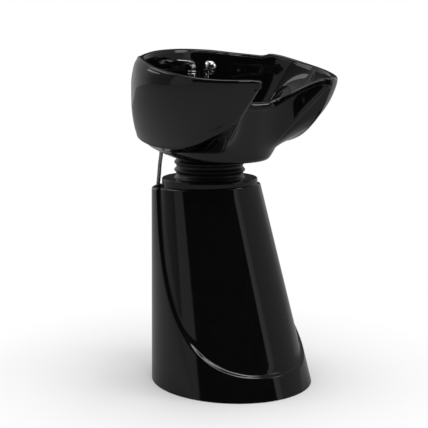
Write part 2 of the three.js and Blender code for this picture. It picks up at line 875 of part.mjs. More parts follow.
function halfColumns() {
  const columns = [];
  for (let i = 0; i < cheekColumns; i += 1) columns.push(cheekColumn(i / (cheekColumns - 1)));
  for (let i = 1; i <= noseColumns; i += 1) columns.push(noseColumn(i / (noseColumns + 1)));
  for (let i = 0; i <= neckColumns; i += 1) columns.push(neckColumn(i / neckColumns));
  return columns;
}

function heelPoint(turn) {
  const x = heelRadius * Math.sin(turn);
  const y = THREE.MathUtils.clamp(heelCentreY + heelRadius * Math.cos(turn), heelFrontY, heelBackY);
  return [x, y, heightAt(heelHeightShare)];
}

function insideOf(column) {
  const { edge } = column;
  const heel = heelPoint(column.footAngle);
  const floor = heightAt(floorHeightShare);
  const seatTurn = Math.atan2(heel[0], heel[1]);
  const seat = [drainSeatRadius * Math.sin(seatTurn), drainSeatRadius * Math.cos(seatTurn), floor];
  const points = [seat];
  for (let row = 1; row <= floorRows; row += 1) {
    const share = row / floorRows;
    const place = lerpPoint(seat, heel, share);
    points.push([place[0], place[1], floor + (heel[2] - floor) * share ** 2]);
  }
  const cornerShare = THREE.MathUtils.lerp(basinCornerShare, wingCornerShare, column.neck ? 1 : column.land);
  const corner = [...lerpPoint(heel, edge, 1 - cornerShare).slice(0, 2),
    heel[2] + (edge[2] - heel[2]) * cornerShare];
  for (let row = 1; row <= basinRows; row += 1) {
    const share = row / basinRows;
    const first = lerpPoint(heel, corner, share);
    const place = lerpPoint(first, lerpPoint(corner, edge, share), share);
    if (column.cheek) {
      const weight = (1 - column.land) * (1 - (2 * share - 1) ** 4);
      const draft = THREE.MathUtils.lerp(wallDraft, cheekDraft,
        THREE.MathUtils.smoothstep(column.angle, draftStartAngle, draftEndAngle));
      const inset = wallAtSeam + draft * Math.max(edge[2] - place[2], 0);
      points.push(lerpPoint(place, cheekPoint(column.angle, place[2], inset), weight));
    } else {
      points.push(place);
    }
  }
  return points;
}

function overRim(column) {
  const points = [];
  const { centre, normal, roll } = column;
  for (const turn of [180, 135, 90, 45, 0]) {
    const out = (turn > 90 ? column.rollIn : roll) * Math.cos(turn * degree);
    points.push([centre[0] + normal[0] * out, centre[1] + normal[1] * out,
      centre[2] + roll * Math.sin(turn * degree)]);
  }
  return points;
}

// The outside swells a little below the rim, except at the wings
function shoulderAt(angle, below) {
  const around = 1 - THREE.MathUtils.smoothstep(angle, shoulderEndAngle, shoulderGoneAngle);
  const depth = below / shoulderDepth;
  return shoulderRise * around * depth * Math.exp(1 - depth);
}

function downCheek(column, top) {
  const points = [];
  const bottom = column.low + column.step;
  for (let row = 1; row <= wallRows; row += 1) {
    const share = (row / wallRows) ** wallPower;
    const height = top[2] + (bottom - top[2]) * share;
    if (column.cheek) {
      const start = cheekPoint(column.angle, top[2], 0);
      const place = cheekPoint(column.angle, height, -shoulderAt(column.angle, top[2] - height));
      const fade = (1 - share) ** 2;
      points.push([place[0] + (top[0] - start[0]) * fade, place[1] + (top[1] - start[1]) * fade, height]);
    } else {
      points.push([top[0], top[1], height]);
    }
  }
  return points;
}

function underStep(column, from) {
  const { normal, step, stepReach } = column;
  const points = [];
  for (const turn of [-30, -60, -90]) {
    const out = stepReach * (Math.cos(turn * degree) - 1);
    points.push([from[0] + normal[0] * out, from[1] + normal[1] * out,
      from[2] + step * Math.sin(turn * degree)]);
  }
  const run = (1 + stepRunShare) * stepReach;
  points.push([from[0] - run * normal[0], from[1] - run * normal[1], from[2] - step]);
  return points;
}

// Keeps the underside clear of the bellows
function roundBellows([x, y, z]) {
  const reach = Math.hypot(x, y);
  const clear = bellowsRadius + skirtGap;
  const scale = Math.max(clear / reach, 1);
  const free = THREE.MathUtils.smoothstep(reach, clear, skirtBlendShare * clear);
  const low = THREE.MathUtils.lerp(Math.max(z, footHeight), z, free);
  return [x * scale, y * scale, low];
}

function downBody(column, from) {
  const turn = column.footAngle + (column.footStep ? column.footStep * noseFootTurn : 0);
  const circle = (share) => {
    const radius = rimRadius * alongTable(bodyHeightShares, bodyRadiusShares, share);
    const centre = rimCentreY * alongTable(bodyHeightShares, bodyCentreShares, share);
    return roundBellows([radius * Math.sin(turn), centre + radius * Math.cos(turn), heightAt(share)]);
  };
  const first = circle(bodyHeightShares.at(-1));
  const bulge = [THREE.MathUtils.lerp(from[0], first[0], throatInShare),
    THREE.MathUtils.lerp(from[1], first[1], throatInShare),
    THREE.MathUtils.lerp(from[2], first[2], throatDownShare)];
  const points = [];
  for (let row = 1; row < throatRows; row += 1) {
    const share = row / throatRows;
    const blend = (a, b) => a.map((value, i) => THREE.MathUtils.lerp(value, b[i], share));
    points.push(blend(blend(from, bulge), blend(bulge, first)));
  }
  bodyHeightShares.toReversed().forEach((share) => points.push(circle(share)));
  const [x, y] = circle(bodyHeightShares[0]);
  points.push([x * footRingShare, y * footRingShare, footHeight]);
  const around = (radius, height) => [radius * Math.sin(turn), radius * Math.cos(turn), height];
  const seatHeight = heightAt(floorHeightShare) - drainSeatDepth;
  points.push(around(footRecessRadius, footHeight), around(footRecessRadius, footHeight + footRecessDepth),
    around(drainHoleRadius, footHeight + footRecessDepth), around(drainHoleRadius, seatHeight),
    around(drainSeatRadius, seatHeight));
  return points;
}

function bowlLine(column) {
  const inside = insideOf(column);
  const rim = overRim(column);
  const cheek = downCheek(column, rim.at(-1));
  const step = underStep(column, cheek.at(-1));
  return [...inside, ...rim, ...cheek, ...step, ...downBody(column, step.at(-1))];
}

function makeBowl() {
  const half = halfColumns().map(bowlLine);
  const mirrored = half.slice(1, -1).reverse().map((line) => line.map(([x, y, z]) => [-x, y, z]));
  const lines = [...half, ...mirrored];
  const rows = lines[0].length;
  const rings = Array.from({ length: rows }, (_, row) => lines.map((line) => line[row]));
  return cut(join(toSolid(loopRings(rings)), makeDeck()), makeCavity(), ...deckHoles(), ...bowlBoltHoles());
}

// The raised tap deck at the back of the basin
function makeDeck() {
  const top = heightAt(deckHeightShare);
  const circle = (radius, height) => Array.from({ length: deckColumns }, (_, i) => {
    const turn = -2 * Math.PI * i / deckColumns;
    return [radius * Math.sin(turn), heelCentreY + radius * Math.cos(turn), height];
  });
  const cheek = (height) => Array.from({ length: deckColumns }, (_, i) => (
    cheekPoint(-2 * Math.PI * i / deckColumns, height, bowlWall / 2)));
  const heel = heightAt(heelHeightShare);
  const block = toSolid(stackRings([circle(heelRadius - bowlWall, heightAt(floorHeightShare) - deckBlend),
    circle(heelRadius + bowlWall / 2, heel), cheek(THREE.MathUtils.lerp(heel, top, deckLowShare)),
    cheek(THREE.MathUtils.lerp(heel, top, deckMiddleShare)), cheek(top)]));
  const shape = new THREE.Shape();
  shape.moveTo(deckFrontY, 0);
  shape.lineTo(deckFrontY, top - deckBlend);
  shape.lineTo(deckFrontY + deckBlend, top);
  shape.lineTo(rimRadius, top);
  shape.lineTo(rimRadius, 0);
  const geometry = new THREE.ExtrudeGeometry(shape, { depth: 2 * rimRadius, bevelEnabled: false });
  geometry.rotateX(Math.PI / 2);
  geometry.rotateZ(Math.PI / 2);
  geometry.translate(-rimRadius, 0, 0);
  return block.intersect(toSolid(geometry));
}

// The space under the tap deck, and the ways for the hoses
function makeCavity() {
  const roof = heightAt(deckHeightShare) - cavityRoofWall;
  const low = roof - cavityHeight;
  const rings = [];
  for (let row = 0; row <= 2; row += 1) {
    const height = low + cavityHeight * row / 2;
    rings.push(Array.from({ length: cavityColumns }, (_, i) => (
      cheekPoint(-2 * Math.PI * i / cavityColumns, height, cavityWall))));
  }
  const room = toSolid(stackRings(rings));
  const deep = 2 * cavityHalfWidth;
  const keep = box(deep, deep, 2 * cavityHeight, 0, cavityFrontY + deep / 2, low - cavityHeight / 2);
  const rise = low - footHeight + 2 * overrun + cavityHeight / 2;
  const passes = [...innerHosePlaces(), [hoseExitX, hoseExitY]].map(([x, y]) => (
    rod(hosePassRadius, rise, x, y, footHeight - overrun, 14)));
  return join(room.intersect(keep), ...passes);
}

// Blind holes for the bolts that hold the bowl to its bracket
function bowlBoltHoles() {
  const depth = footRecessDepth / 2 + 3 * contactGap;
  return upperBoltPlaces().map(([x, y]) => (
    rod(fixingBoltRadius + contactGap, depth + overrun, x, y, footHeight - overrun, 10)));
}

function innerHosePlaces() {
  return [[-supplyOffset, supplyY], [supplyOffset, supplyY], [showerPassX, showerPassY]];
}

function deckHoles() {
  const roof = heightAt(deckHeightShare) - 2 * cavityRoofWall;
  return [rod(skirtRadius + contactGap, 4 * cavityRoofWall, mixerX, mixerY, roof, 32),
    rod(holderTailRadius + contactGap, 4 * cavityRoofWall, sprayX, sprayY, roof, 32)];
}

// Drain
function makeDrainFlange() {
  const seat = heightAt(floorHeightShare) - drainSeatDepth + contactGap + gasketThickness;
  const low = footHeight + footRecessDepth - drainNutHeight - 2 * gasketThickness;
  return turned([
    [drainTubeBore, low], [drainTubeRadius, low], [drainTubeRadius, seat], [flangeRadius, seat],
    [flangeRadius, seat + flangeThickness / 2], [flangeRadius - flangeThickness, seat + flangeThickness],
    [drainTubeBore + flangeThickness, seat + flangeThickness / 2], [drainTubeBore, seat],
  ], 32);
}

function makeStrainer() {
  const seat = heightAt(floorHeightShare) - drainSeatDepth + contactGap + gasketThickness;
  const low = seat + strainerSeatShare * flangeThickness + contactGap / 3;
  const radius = drainTubeBore + 2 * flangeThickness;
  const disc = rod(radius, strainerThickness, 0, 0, low, 28);
  const holes = [];
  for (let i = 0; i < strainerHoles; i += 1) {
    const turn = 2 * Math.PI * i / strainerHoles;
    const reach = radius * strainerHoleReachShare;
    holes.push(rod(strainerHoleRadius, 4 * strainerThickness, reach * Math.cos(turn), reach * Math.sin(turn),
      low - strainerThickness, 6));
  }
  const knob = rod(strainerKnobRadius, strainerKnobHeight + strainerThickness, 0, 0, low, 14);
  return join(cut(disc, ...holes), knob);
}

function makeGasket() {
  return ring(flangeRadius, drainTubeRadius + contactGap, gasketThickness - contactGap,
    heightAt(floorHeightShare) - drainSeatDepth + contactGap);
}

function makeDrainNut() {
  const top = footHeight + footRecessDepth - gasketThickness;
  return cut(hexNut(drainNutRadius, drainNutHeight, 0, 0, top - drainNutHeight),
    rod(drainTubeRadius + contactGap, 2 * footHeight, 0, 0, 0));
}

function makeNutWasher() {
  return ring(drainNutRadius, drainTubeRadius + contactGap, gasketThickness - 2 * contactGap,
    footHeight + footRecessDepth - gasketThickness + contactGap);
}

// Mixer
const deckTop = heightAt(deckHeightShare);

function makeMixerBody() {
  const low = deckTop + contactGap;
  const body = turned([
    [0, low], [mixerBaseRadius, low], [mixerBaseRadius, low + mixerBaseHeight / 2],
    [mixerBaseRadius - mixerBaseHeight / 2, low + mixerBaseHeight], [mixerBodyRadius, low + mixerBaseHeight],
    [mixerBodyRadius, low + mixerBodyHeight - mixerShoulder],
    [mixerBodyRadius - mixerShoulder, low + mixerBodyHeight],
    [0, low + mixerBodyHeight],
  ], 28).translate([mixerX, mixerY, 0]);
  const skirt = rod(skirtRadius, skirtLength, mixerX, mixerY, low - skirtLength + mixerBaseHeight / 2);
  const bore = rod(skirtBore, skirtLength, mixerX, mixerY, low - skirtLength + tailRecess);
  return cut(join(body, skirt), bore);
}

function makeMixerNut() {
  const roof = deckTop - cavityRoofWall;
  return cut(hexNut(mixerNutRadius, fixingNutHeight, mixerX, mixerY, roof - contactGap - fixingNutHeight),
    rod(skirtRadius + contactGap, 2 * roof, mixerX, mixerY, 0));
}

const cartridgeLow = deckTop + 2 * contactGap + mixerBodyHeight;

function makeCartridge() {
  return rod(cartridgeRadius, cartridgeHeight, mixerX, mixerY, cartridgeLow, 28);
}

const leverLow = cartridgeLow + cartridgeHeight + contactGap;

// The lever turns on a lying hub, rises from it and sweeps over towards -X
function makeLever() {
  const pivot = leverLow + leverHubRadius;
  const hub = toSolid(new THREE.CylinderGeometry(leverHubRadius, leverHubRadius, leverHubLength, 24)
    .translate(mixerX, mixerY, pivot));
  const curve = new THREE.CatmullRomCurve3(leverReachShares.map((share, i) => (
    new THREE.Vector3(mixerX + leverReach * share, mixerY, pivot + leverRise * leverRiseShares[i]))));
  const shape = new THREE.Shape();
  shape.absellipse(0, 0, leverThickness / 2, leverWidth / 2, 0, 2 * Math.PI, false, 0);
  const bar = toSolid(new THREE.ExtrudeGeometry(shape, {
    extrudePath: curve, steps: 12, curveSegments: 5, bevelEnabled: false,
  }));
  return join(hub, bar);
}

// Hand shower in its holder
function makeHolder() {
  const low = deckTop + contactGap;
  const outside = turned([
    [holderBore, low - holderTail], [holderTailRadius, low - holderTail], [holderTailRadius, low],
    [holderRadius, low], [holderRadius, low + holderStep], [holderRadius - holderStep, low + 2 * holderStep],
    [holderRadius - holderTaper, low + holderHeight], [holderBore, low + holderHeight],
  ], 28);
  return outside.translate([sprayX, sprayY, 0]);
}

function makeHolderNut() {
  const roof = deckTop - cavityRoofWall;
  const low = roof - contactGap - fixingNutHeight;
  return cut(hexNut(1.5 * holderTailRadius, fixingNutHeight, sprayX, sprayY, low),
    rod(holderTailRadius + contactGap, 2 * roof, sprayX, sprayY, 0));
}

const sprayLow = deckTop - sprayHandleLength * sprayHandleBelowShare;
const sprayNeckTop = sprayLow + sprayHandleLength;

function sprayAxis() {
  const flat = Math.sin(sprayTilt);
  return new THREE.Vector3(flat * Math.cos(sprayTurn), flat * Math.sin(sprayTurn), Math.cos(sprayTilt));
}

function alongSpray(solidGeometry) {
  const turn = new THREE.Quaternion().setFromUnitVectors(new THREE.Vector3(0, 0, 1), sprayAxis());
  solidGeometry.applyQuaternion(turn);
  solidGeometry.translate(sprayX + sprayHeadShiftX, sprayY + sprayHeadShiftY, sprayNeckTop + sprayHeadLift);
  return toSolid(solidGeometry);
}

function makeSprayBody() {
  const handle = rod(sprayHandleRadius, sprayHandleLength, sprayX, sprayY, sprayLow);
  const back = sprayHeadDepth * sprayHeadBackShare;
  const profile = [];
  for (let step = 0; step <= sprayHeadSteps; step += 1) {
    const turn = step / sprayHeadSteps * Math.PI / 2;
    profile.push(new THREE.Vector2(sprayHeadRadius * Math.sin(turn), -back * Math.cos(turn)));
  }
  const front = sprayHeadDepth * sprayHeadFrontShare;
  profile.push(new THREE.Vector2(sprayHeadRadius, front), new THREE.Vector2(0, front));
  profile[0].x = 0;
  const head = new THREE.LatheGeometry(profile, 28);
  head.rotateX(Math.PI / 2);
  return join(handle, alongSpray(head));
}

function makeSprayFace() {
  const face = new THREE.CylinderGeometry(sprayFaceRadius, sprayFaceRadius, sprayFaceThickness, 28);
  face.rotateX(Math.PI / 2);
  face.translate(0, 0, sprayHeadDepth * sprayHeadFrontShare + contactGap + sprayFaceThickness / 2);
  return alongSpray(face);
}

// Hoses: points chosen by hand along each route
const showerHoseDrawn = [
  [52, 84, 813], [52, 85, 800], [46, 98, 784], [12, 111, 776], [-60, 112, 774], [-110, 94, 770],
  [-120, 80, 746], [-120, 80, 710], [-121, 81, 672], [-124, 84, 640], [-126, 86, 606], [-128, 88, 577],
  [-128, 88, 540], [-126, 84, 440], [-118, 76, 340], [-98, 66, 240], [-60, 62, 204], [-26, 68, 260],
  [-8, 78, 400], [1, 84, 540], [2, 84, 600], [2, 84, 680], [2, 84, 745], [-2, 91, 800], [-5, 93.4, 830],
  [-5, 93.4, 860],
];
const coldDrawn = [
  [2.5, 79, 860], [2.5, 79, 834], [20, 72, 785], [27, 70, 745], [27, 70, 680], [27, 70, 600],
  [27, 72, 540], [29, 84, 300], [33, 104, 110], [36, 120, 44], [36, 136, 25], [36, 152, 24],
];
const hotDrawn = [
  [-12.5, 79, 860], [-12.5, 79, 834], [-24, 71, 785], [-27, 70, 745], [-27, 70, 680], [-27, 70, 600],
  [-27, 72, 540], [-29, 84, 300], [-33, 104, 110], [-36, 120, 44], [-36, 136, 25], [-36, 152, 24],
];
const wasteDrawn = [
  [0, 0, 664], [0, 0, 630], [0, 0, 560], [0, 4, 420], [0, 26, 230], [0, 84, 92], [0, 130, 44], [0, 158, 36],
  [0, 174, 36],
];

// The routes are drawn for a bowl that stands and rises this high, and follow it when it doesn't
const drawnFootHeight = 670;
const drawnBowlHeight = 268;

function fitRoute(points) {
  return points.map(([x, y, z]) => {
    const above = Math.max(z - drawnFootHeight, 0) * bowlHeight / drawnBowlHeight;
    return [x, y, Math.min(z, drawnFootHeight) * footHeight / drawnFootHeight + above];
  });
}

function makeGrommet() {
  const [x, y] = [hoseGrommetX, hoseGrommetY];
  const seat = shellTopAt(y) + grommetLip;
  return turned([
    [hoseRadius + contactGap, seat - grommetDepth], [grommetRadius, seat - grommetDepth],
    [grommetRadius, seat], [grommetRadius + grommetLip, seat],
    [grommetRadius + grommetLip, seat + grommetLip],
    [grommetRadius, seat + 2 * grommetLip], [hoseRadius + contactGap, seat + 2 * grommetLip],
  ], 20).translate([x, y, 0]);
}

function makeFerrule() {
  return rod(ferruleRadius, ferruleLength, sprayX, sprayY, sprayLow - contactGap - ferruleLength, 18);
}

function makeConnector(route) {
  const [x, y, z] = route.at(-1);
  const geometry = new THREE.CylinderGeometry(connectorRadius, connectorRadius, connectorLength, 6);
  geometry.translate(x, y + contactGap + connectorLength / 2, z);
  return toSolid(geometry);
}

function makeCoupling() {
  const top = drainTubeLow - contactGap;
  return cut(rod(couplingRadius, couplingHeight, 0, 0, top - couplingHeight, 24),
    rod(wasteHoseRadius + contactGap, 2 * top, 0, 0, 0, 24));
}
const drainTubeLow = footHeight + footRecessDepth - drainNutHeight - 2 * gasketThickness;

function makeWasteHose() {
  return tubeAlong(fitRoute(wasteDrawn), wasteHoseRadius, 12, 36);
}

// The assembly
const pair = [['left', -1], ['right', 1]];

add('pedestal_shell', toGeometry(makePedestalShell()), glossShell);
add('pedestal_cap', toGeometry(makeCap()), glossShell);
add('bellows', toGeometry(makeBellows()), rubber);
add('base_plate', toGeometry(makeBasePlate()), paintedSteel);
for (const [name, side] of pair) {
  add(`upright_${name}`, toGeometry(makeUpright(side)), paintedSteel);
  add(`shell_bracket_${name}`, toGeometry(makeSideBracket(side)), steel);
}
add('shell_bracket_front', toGeometry(makeFrontBracket()), steel);
add('cross_bar', toGeometry(makeCrossBar()), paintedSteel);
add('top_plate', toGeometry(makeTopPlate()), paintedSteel);
tiltBoltPlaces().forEach((place, i) => {
  add(`spacer_${i + 1}`, toGeometry(makeSpacer(place)), steel);
  add(`tilt_bolt_${i + 1}`, toGeometry(makeTiltBolt(place)), steel);
});
add('tilt_lower_bracket', toGeometry(makeTiltBase()), steel);
add('tilt_upper_bracket', toGeometry(makeTiltUpper()), steel);
for (const [name, side] of pair) {
  add(`tilt_pin_${name}`, toGeometry(makeTiltPin(side)), steel);
  add(`tilt_nut_${name}`, toGeometry(makeTiltNut(side)), steel);
}
upperBoltPlaces().forEach((place, i) => {
  add(`bowl_bolt_${i + 1}`, toGeometry(makeUpperBolt(place)), steel);
});
add('ceramic_bowl', toGeometry(makeBowl()), glazedCeramic);
add('drain_flange', toGeometry(makeDrainFlange()), chrome);
add('hair_strainer', toGeometry(makeStrainer()), chrome);
add('drain_gasket', toGeometry(makeGasket()), rubber);
add('drain_washer', toGeometry(makeNutWasher()), rubber);
add('drain_nut', toGeometry(makeDrainNut()), brass);
add('waste_coupling', toGeometry(makeCoupling()), greyPlastic);
add('waste_hose', toGeometry(makeWasteHose()), greyPlastic);
add('mixer_body', toGeometry(makeMixerBody()), chrome);
add('mixer_nut', toGeometry(makeMixerNut()), brass);
add('cartridge_collar', toGeometry(makeCartridge()), chrome);
add('lever_handle', toGeometry(makeLever()), chrome);
add('spray_holder', toGeometry(makeHolder()), chrome);
add('holder_nut', toGeometry(makeHolderNut()), brass);
add('spray_body', toGeometry(makeSprayBody()), chrome);
add('spray_face', toGeometry(makeSprayFace()), darkPlastic);
add('hose_ferrule', toGeometry(makeFerrule()), chrome);
add('shower_hose', toGeometry(tubeAlong(fitRoute(showerHoseDrawn), hoseRadius, 8, 64)), braid);
add('hose_grommet', toGeometry(makeGrommet()), rubber);
for (const [name, route] of [['hot', fitRoute(hotDrawn)], ['cold', fitRoute(coldDrawn)]]) {
  add(`supply_hose_${name}`, toGeometry(tubeAlong(route, supplyHoseRadius, 8, 36)), braid);
  add(`supply_nut_${name}`, toGeometry(makeConnector(route)), brass);
}

export default group;
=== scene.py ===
"""Looks of the portable shampoo basin: glazed bowl, gloss pedestal, rubber bellows and chrome fittings."""

import json
import math

import bmesh
import bpy
from mathutils import Matrix, Vector


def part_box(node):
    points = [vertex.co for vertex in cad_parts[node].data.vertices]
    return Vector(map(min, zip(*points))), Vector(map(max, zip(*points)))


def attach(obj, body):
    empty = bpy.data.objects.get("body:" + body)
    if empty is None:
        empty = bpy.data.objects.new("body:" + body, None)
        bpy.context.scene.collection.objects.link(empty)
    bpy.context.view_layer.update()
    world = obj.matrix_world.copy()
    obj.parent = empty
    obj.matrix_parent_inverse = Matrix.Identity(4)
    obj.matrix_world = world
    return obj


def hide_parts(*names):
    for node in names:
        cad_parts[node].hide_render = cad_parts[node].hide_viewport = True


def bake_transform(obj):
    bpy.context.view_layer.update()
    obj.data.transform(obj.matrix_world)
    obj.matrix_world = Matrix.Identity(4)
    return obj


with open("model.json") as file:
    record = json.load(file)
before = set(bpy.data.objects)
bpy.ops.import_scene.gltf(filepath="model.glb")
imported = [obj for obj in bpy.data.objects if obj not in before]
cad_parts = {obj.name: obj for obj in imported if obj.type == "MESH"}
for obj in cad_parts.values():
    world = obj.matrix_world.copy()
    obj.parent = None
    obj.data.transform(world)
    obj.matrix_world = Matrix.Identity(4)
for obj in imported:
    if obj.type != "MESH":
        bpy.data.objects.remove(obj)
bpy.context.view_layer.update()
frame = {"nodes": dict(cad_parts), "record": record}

bl_info = {
    "name": "Shampoo Basin Dressing",
    "version": (1, 0, 0),
    "blender": (4, 5, 0),
    "location": "View3D > Sidebar > Basin",
    "description": "Dresses a portable shampoo basin with glaze, gloss plastic, rubber and chrome",
    "category": "Object",
}

DEGREE = math.pi / 180
MM = 0.001
# Left open between pieces that fit together, in metres as all lengths here
FIT_GAP = 0.0003

# Places on the deck and in the cap, as x and y
MIXER = (-0.005, 0.084)
SPRAY = (0.052, 0.084)
GROMMET = (-0.128, 0.088)
# Where the hoses pass the bowl's foot, the shower hose first; the others pass the cap too
HOSE_HOLES = ((-0.12, 0.08), (-0.027, 0.07), (0.027, 0.07), (0.002, 0.084))
HOSE_HOLE_RADIUS = 0.010

# Bowl proportions: the cheek's height, radius and centre, and those of the body under it, as shares
# of the bowl's height, its rim radius and its rim's centre
CHEEK_HEIGHT_SHARES = (0.12, 0.211, 0.276, 0.47, 0.612, 0.739, 0.82, 1, 1.2)
CHEEK_RADIUS_SHARES = (0.767, 0.826, 0.868, 0.958, 1, 1.021, 1.028, 1.017, 1.002)
CHEEK_CENTRE_SHARES = (0.18, 0.3, 0.377, 0.615, 0.754, 0.846, 0.885, 0.96, 1)
BODY_HEIGHT_SHARES = (-0.041, -0.019, 0.03, 0.093)
BODY_RADIUS_SHARES = (0.436, 0.481, 0.568, 0.652)
BODY_CENTRE_SHARES = (0.5, 0.477, 0.3, 0.138)
# How far the rim leaves its slanting plane, for turns in degrees from the back
RIM_TURNS = (0, 20, 37, 50, 56, 60, 66, 76, 85, 95, 105, 120, 130, 140, 148, 152)
RIM_RISE_SHARES = (0, -0.004, -0.015, -0.015, -0.009, 0.019, 0.022, 0.007, -0.007, -0.015, -0.019, -0.019,
                   -0.011, 0.004, 0.017, 0.017)
# The swoosh under the cheek, for turns in degrees from the back: where it ends, how high
# its edge rolls and how far inwards
SWOOSH_TURNS = (0, 30, 58, 78, 94, 113, 122, 130, 136, 142, 145, 148, 150, 151, 152)
SWOOSH_LOW_SHARES = (0.226, 0.22, 0.205, 0.165, 0.135, 0.133, 0.166, 0.217, 0.28, 0.345, 0.417, 0.51, 0.6,
                     0.675, 0.785)
SWOOSH_RISE_SHARES = (0.016, 0.018, 0.028, 0.022, 0.02, 0.025, 0.03, 0.035, 0.04, 0.04, 0.04, 0.04, 0.035,
                      0.025, 0.011)
SWOOSH_REACH_SHARES = (0.014, 0.015, 0.02, 0.02, 0.021, 0.025, 0.028, 0.03, 0.03, 0.03, 0.03, 0.03, 0.027,
                       0.02, 0.0105)


# Plain helpers
def lerp(a, b, share):
    return a + (b - a) * share


def clamp(value, low=0.0, high=1.0):
    return max(low, min(high, value))


def smoothstep(value, low, high):
    share = clamp((value - low) / (high - low))
    return share * share * (3 - 2 * share)


def blend_points(first, second, share):
    return tuple(a + (b - a) * share for a, b in zip(first, second))


def along_table(stations, values, at):
    last = len(stations) - 1
    at = clamp(at, stations[0], stations[last])
    i = 0
    while i < last - 1 and at > stations[i + 1]:
        i += 1

    def slope(k):
        a, b = max(k - 1, 0), min(k + 1, last)
        return (values[b] - values[a]) / (stations[b] - stations[a])

    width = stations[i + 1] - stations[i]
    t = (at - stations[i]) / width
    return ((2 * t**3 - 3 * t**2 + 1) * values[i] + (t**3 - 2 * t**2 + t) * width * slope(i)
            + (3 * t**2 - 2 * t**3) * values[i + 1] + (t**3 - t**2) * width * slope(i + 1))


def closed_spline(points, steps):
    """A closed cubic B-spline that rounds every corner of its control points."""
    count = len(points)
    out = []
    for i in range(count):
        p0, p1, p2, p3 = (points[(i + k - 1) % count] for k in range(4))
        for j in range(steps):
            t = j / steps
            w = ((1 - t)**3 / 6, (3 * t**3 - 6 * t**2 + 4) / 6,
                 (-3 * t**3 + 3 * t**2 + 3 * t + 1) / 6, t**3 / 6)
            out.append(tuple(w[0] * a + w[1] * b + w[2] * c + w[3] * d
                             for a, b, c, d in zip(p0, p1, p2, p3)))
    return out


def through_points(points, count, fine_steps=40):
    """Evenly parted points on a smooth line through the given ones."""
    control = [Vector(p) for p in points]
    control = [2 * control[0] - control[1], *control, 2 * control[-1] - control[-2]]
    fine = []
    for i in range(1, len(control) - 2):
        a, b, c, d = control[i - 1:i + 3]
        for j in range(fine_steps):
            t = j / fine_steps
            fine.append(0.5 * (2 * b + (c - a) * t + (2 * a - 5 * b + 4 * c - d) * t**2
                               + (3 * b - a - 3 * c + d) * t**3))
    fine.append(control[-2])
    reach = [0.0]
    for a, b in zip(fine, fine[1:]):
        reach.append(reach[-1] + (b - a).length)
    out, k = [], 0
    for i in range(count):
        want = reach[-1] * i / (count - 1)
        while k < len(fine) - 2 and reach[k + 1] < want:
            k += 1
        share = (want - reach[k]) / max(reach[k + 1] - reach[k], 1e-12)
        out.append(fine[k].lerp(fine[k + 1], clamp(share)))
    return out


def filleted(profile, radius, steps=5):
    """The corners of an open profile, each rounded to about the radius."""
    points = [Vector(p) for p in profile]
    out = [points[0]]
    for before, corner, after in zip(points, points[1:], points[2:]):
        back, ahead = before - corner, after - corner
        reach = min(radius, back.length * 0.49, ahead.length * 0.49)
        start, end = corner + back.normalized() * reach, corner + ahead.normalized() * reach
        for j in range(steps + 1):
            t = j / steps
            out.append((1 - t)**2 * start + 2 * t * (1 - t) * corner + t**2 * end)
    out.append(points[-1])
    return out


# Mesh helpers
def add_object(name, data):
    """Puts new data into the scene as an object."""
    made = bpy.data.objects.new(name, data)
    bpy.context.scene.collection.objects.link(made)
    return made


def new_piece(name, points, faces, smooth_angle=35):
    mesh = bpy.data.meshes.new(name)
    mesh.from_pydata([tuple(p) for p in points], [], faces)
    mesh.validate()
    piece = add_object(name, mesh)
    clean(piece, smooth_angle)
    return piece


def clean(piece, smooth_angle=35):
    """Merges doubles, turns the faces outwards and shades them smooth."""
    form = bmesh.new()
    form.from_mesh(piece.data)
    bmesh.ops.remove_doubles(form, verts=form.verts, dist=0.01 * MM)
    bmesh.ops.dissolve_degenerate(form, edges=form.edges, dist=0.001 * MM)
    bmesh.ops.recalc_face_normals(form, faces=form.faces)
    form.to_mesh(piece.data)
    form.free()
    piece.data.shade_smooth()
    piece.data.set_sharp_from_angle(angle=smooth_angle * DEGREE)


def settle(piece):
    """Turns the piece's modifiers into its plain mesh."""
    graph = bpy.context.evaluated_depsgraph_get()
    mesh = bpy.data.meshes.new_from_object(piece.evaluated_get(graph))
    piece.modifiers.clear()
    piece.data = mesh
    return piece


def carve(piece, tool, operation="DIFFERENCE"):
    modifier = piece.modifiers.new("Carve", "BOOLEAN")
    modifier.operation = operation
    modifier.solver = "EXACT"
    modifier.object = tool
    settle(piece)
    bpy.data.objects.remove(tool)


def grid_faces(rows, columns, close_rows=False, close_columns=True):
    faces = []
    for row in range(rows if close_rows else rows - 1):
        after = (row + 1) % rows
        for i in range(columns if close_columns else columns - 1):
            j = (i + 1) % columns
            faces.append((row * columns + i, row * columns + j, after * columns + j, after * columns + i))
    return faces


def ring(place, radius, height, sides):
    """A level circle of points round a place."""
    turns = [2 * math.pi * i / sides for i in range(sides)]
    return [(place[0] + radius * math.cos(turn), place[1] + radius * math.sin(turn), height)
            for turn in turns]


def turned_piece(name, profile, place=(0, 0), sides=96, smooth_angle=35):
    """A closed profile of radius and height, turned round an upright axis."""
    points = [p for radius, height in profile for p in ring(place, radius, height, sides)]
    return new_piece(name, points, grid_faces(len(profile), sides, close_rows=True), smooth_angle)


def loft_piece(name, rings):
    """A skin over rings of points, closed at both ends."""
    columns = len(rings[0])
    points = [p for each in rings for p in each]
    ends = [tuple(range(columns)), tuple(range(len(points) - columns, len(points)))]
    return new_piece(name, points, grid_faces(len(rings), columns) + ends)


def upright_cutter(place, radius, low, high, sides=48):
    return loft_piece("cutter", [ring(place, radius, height, sides) for height in (low, high)])


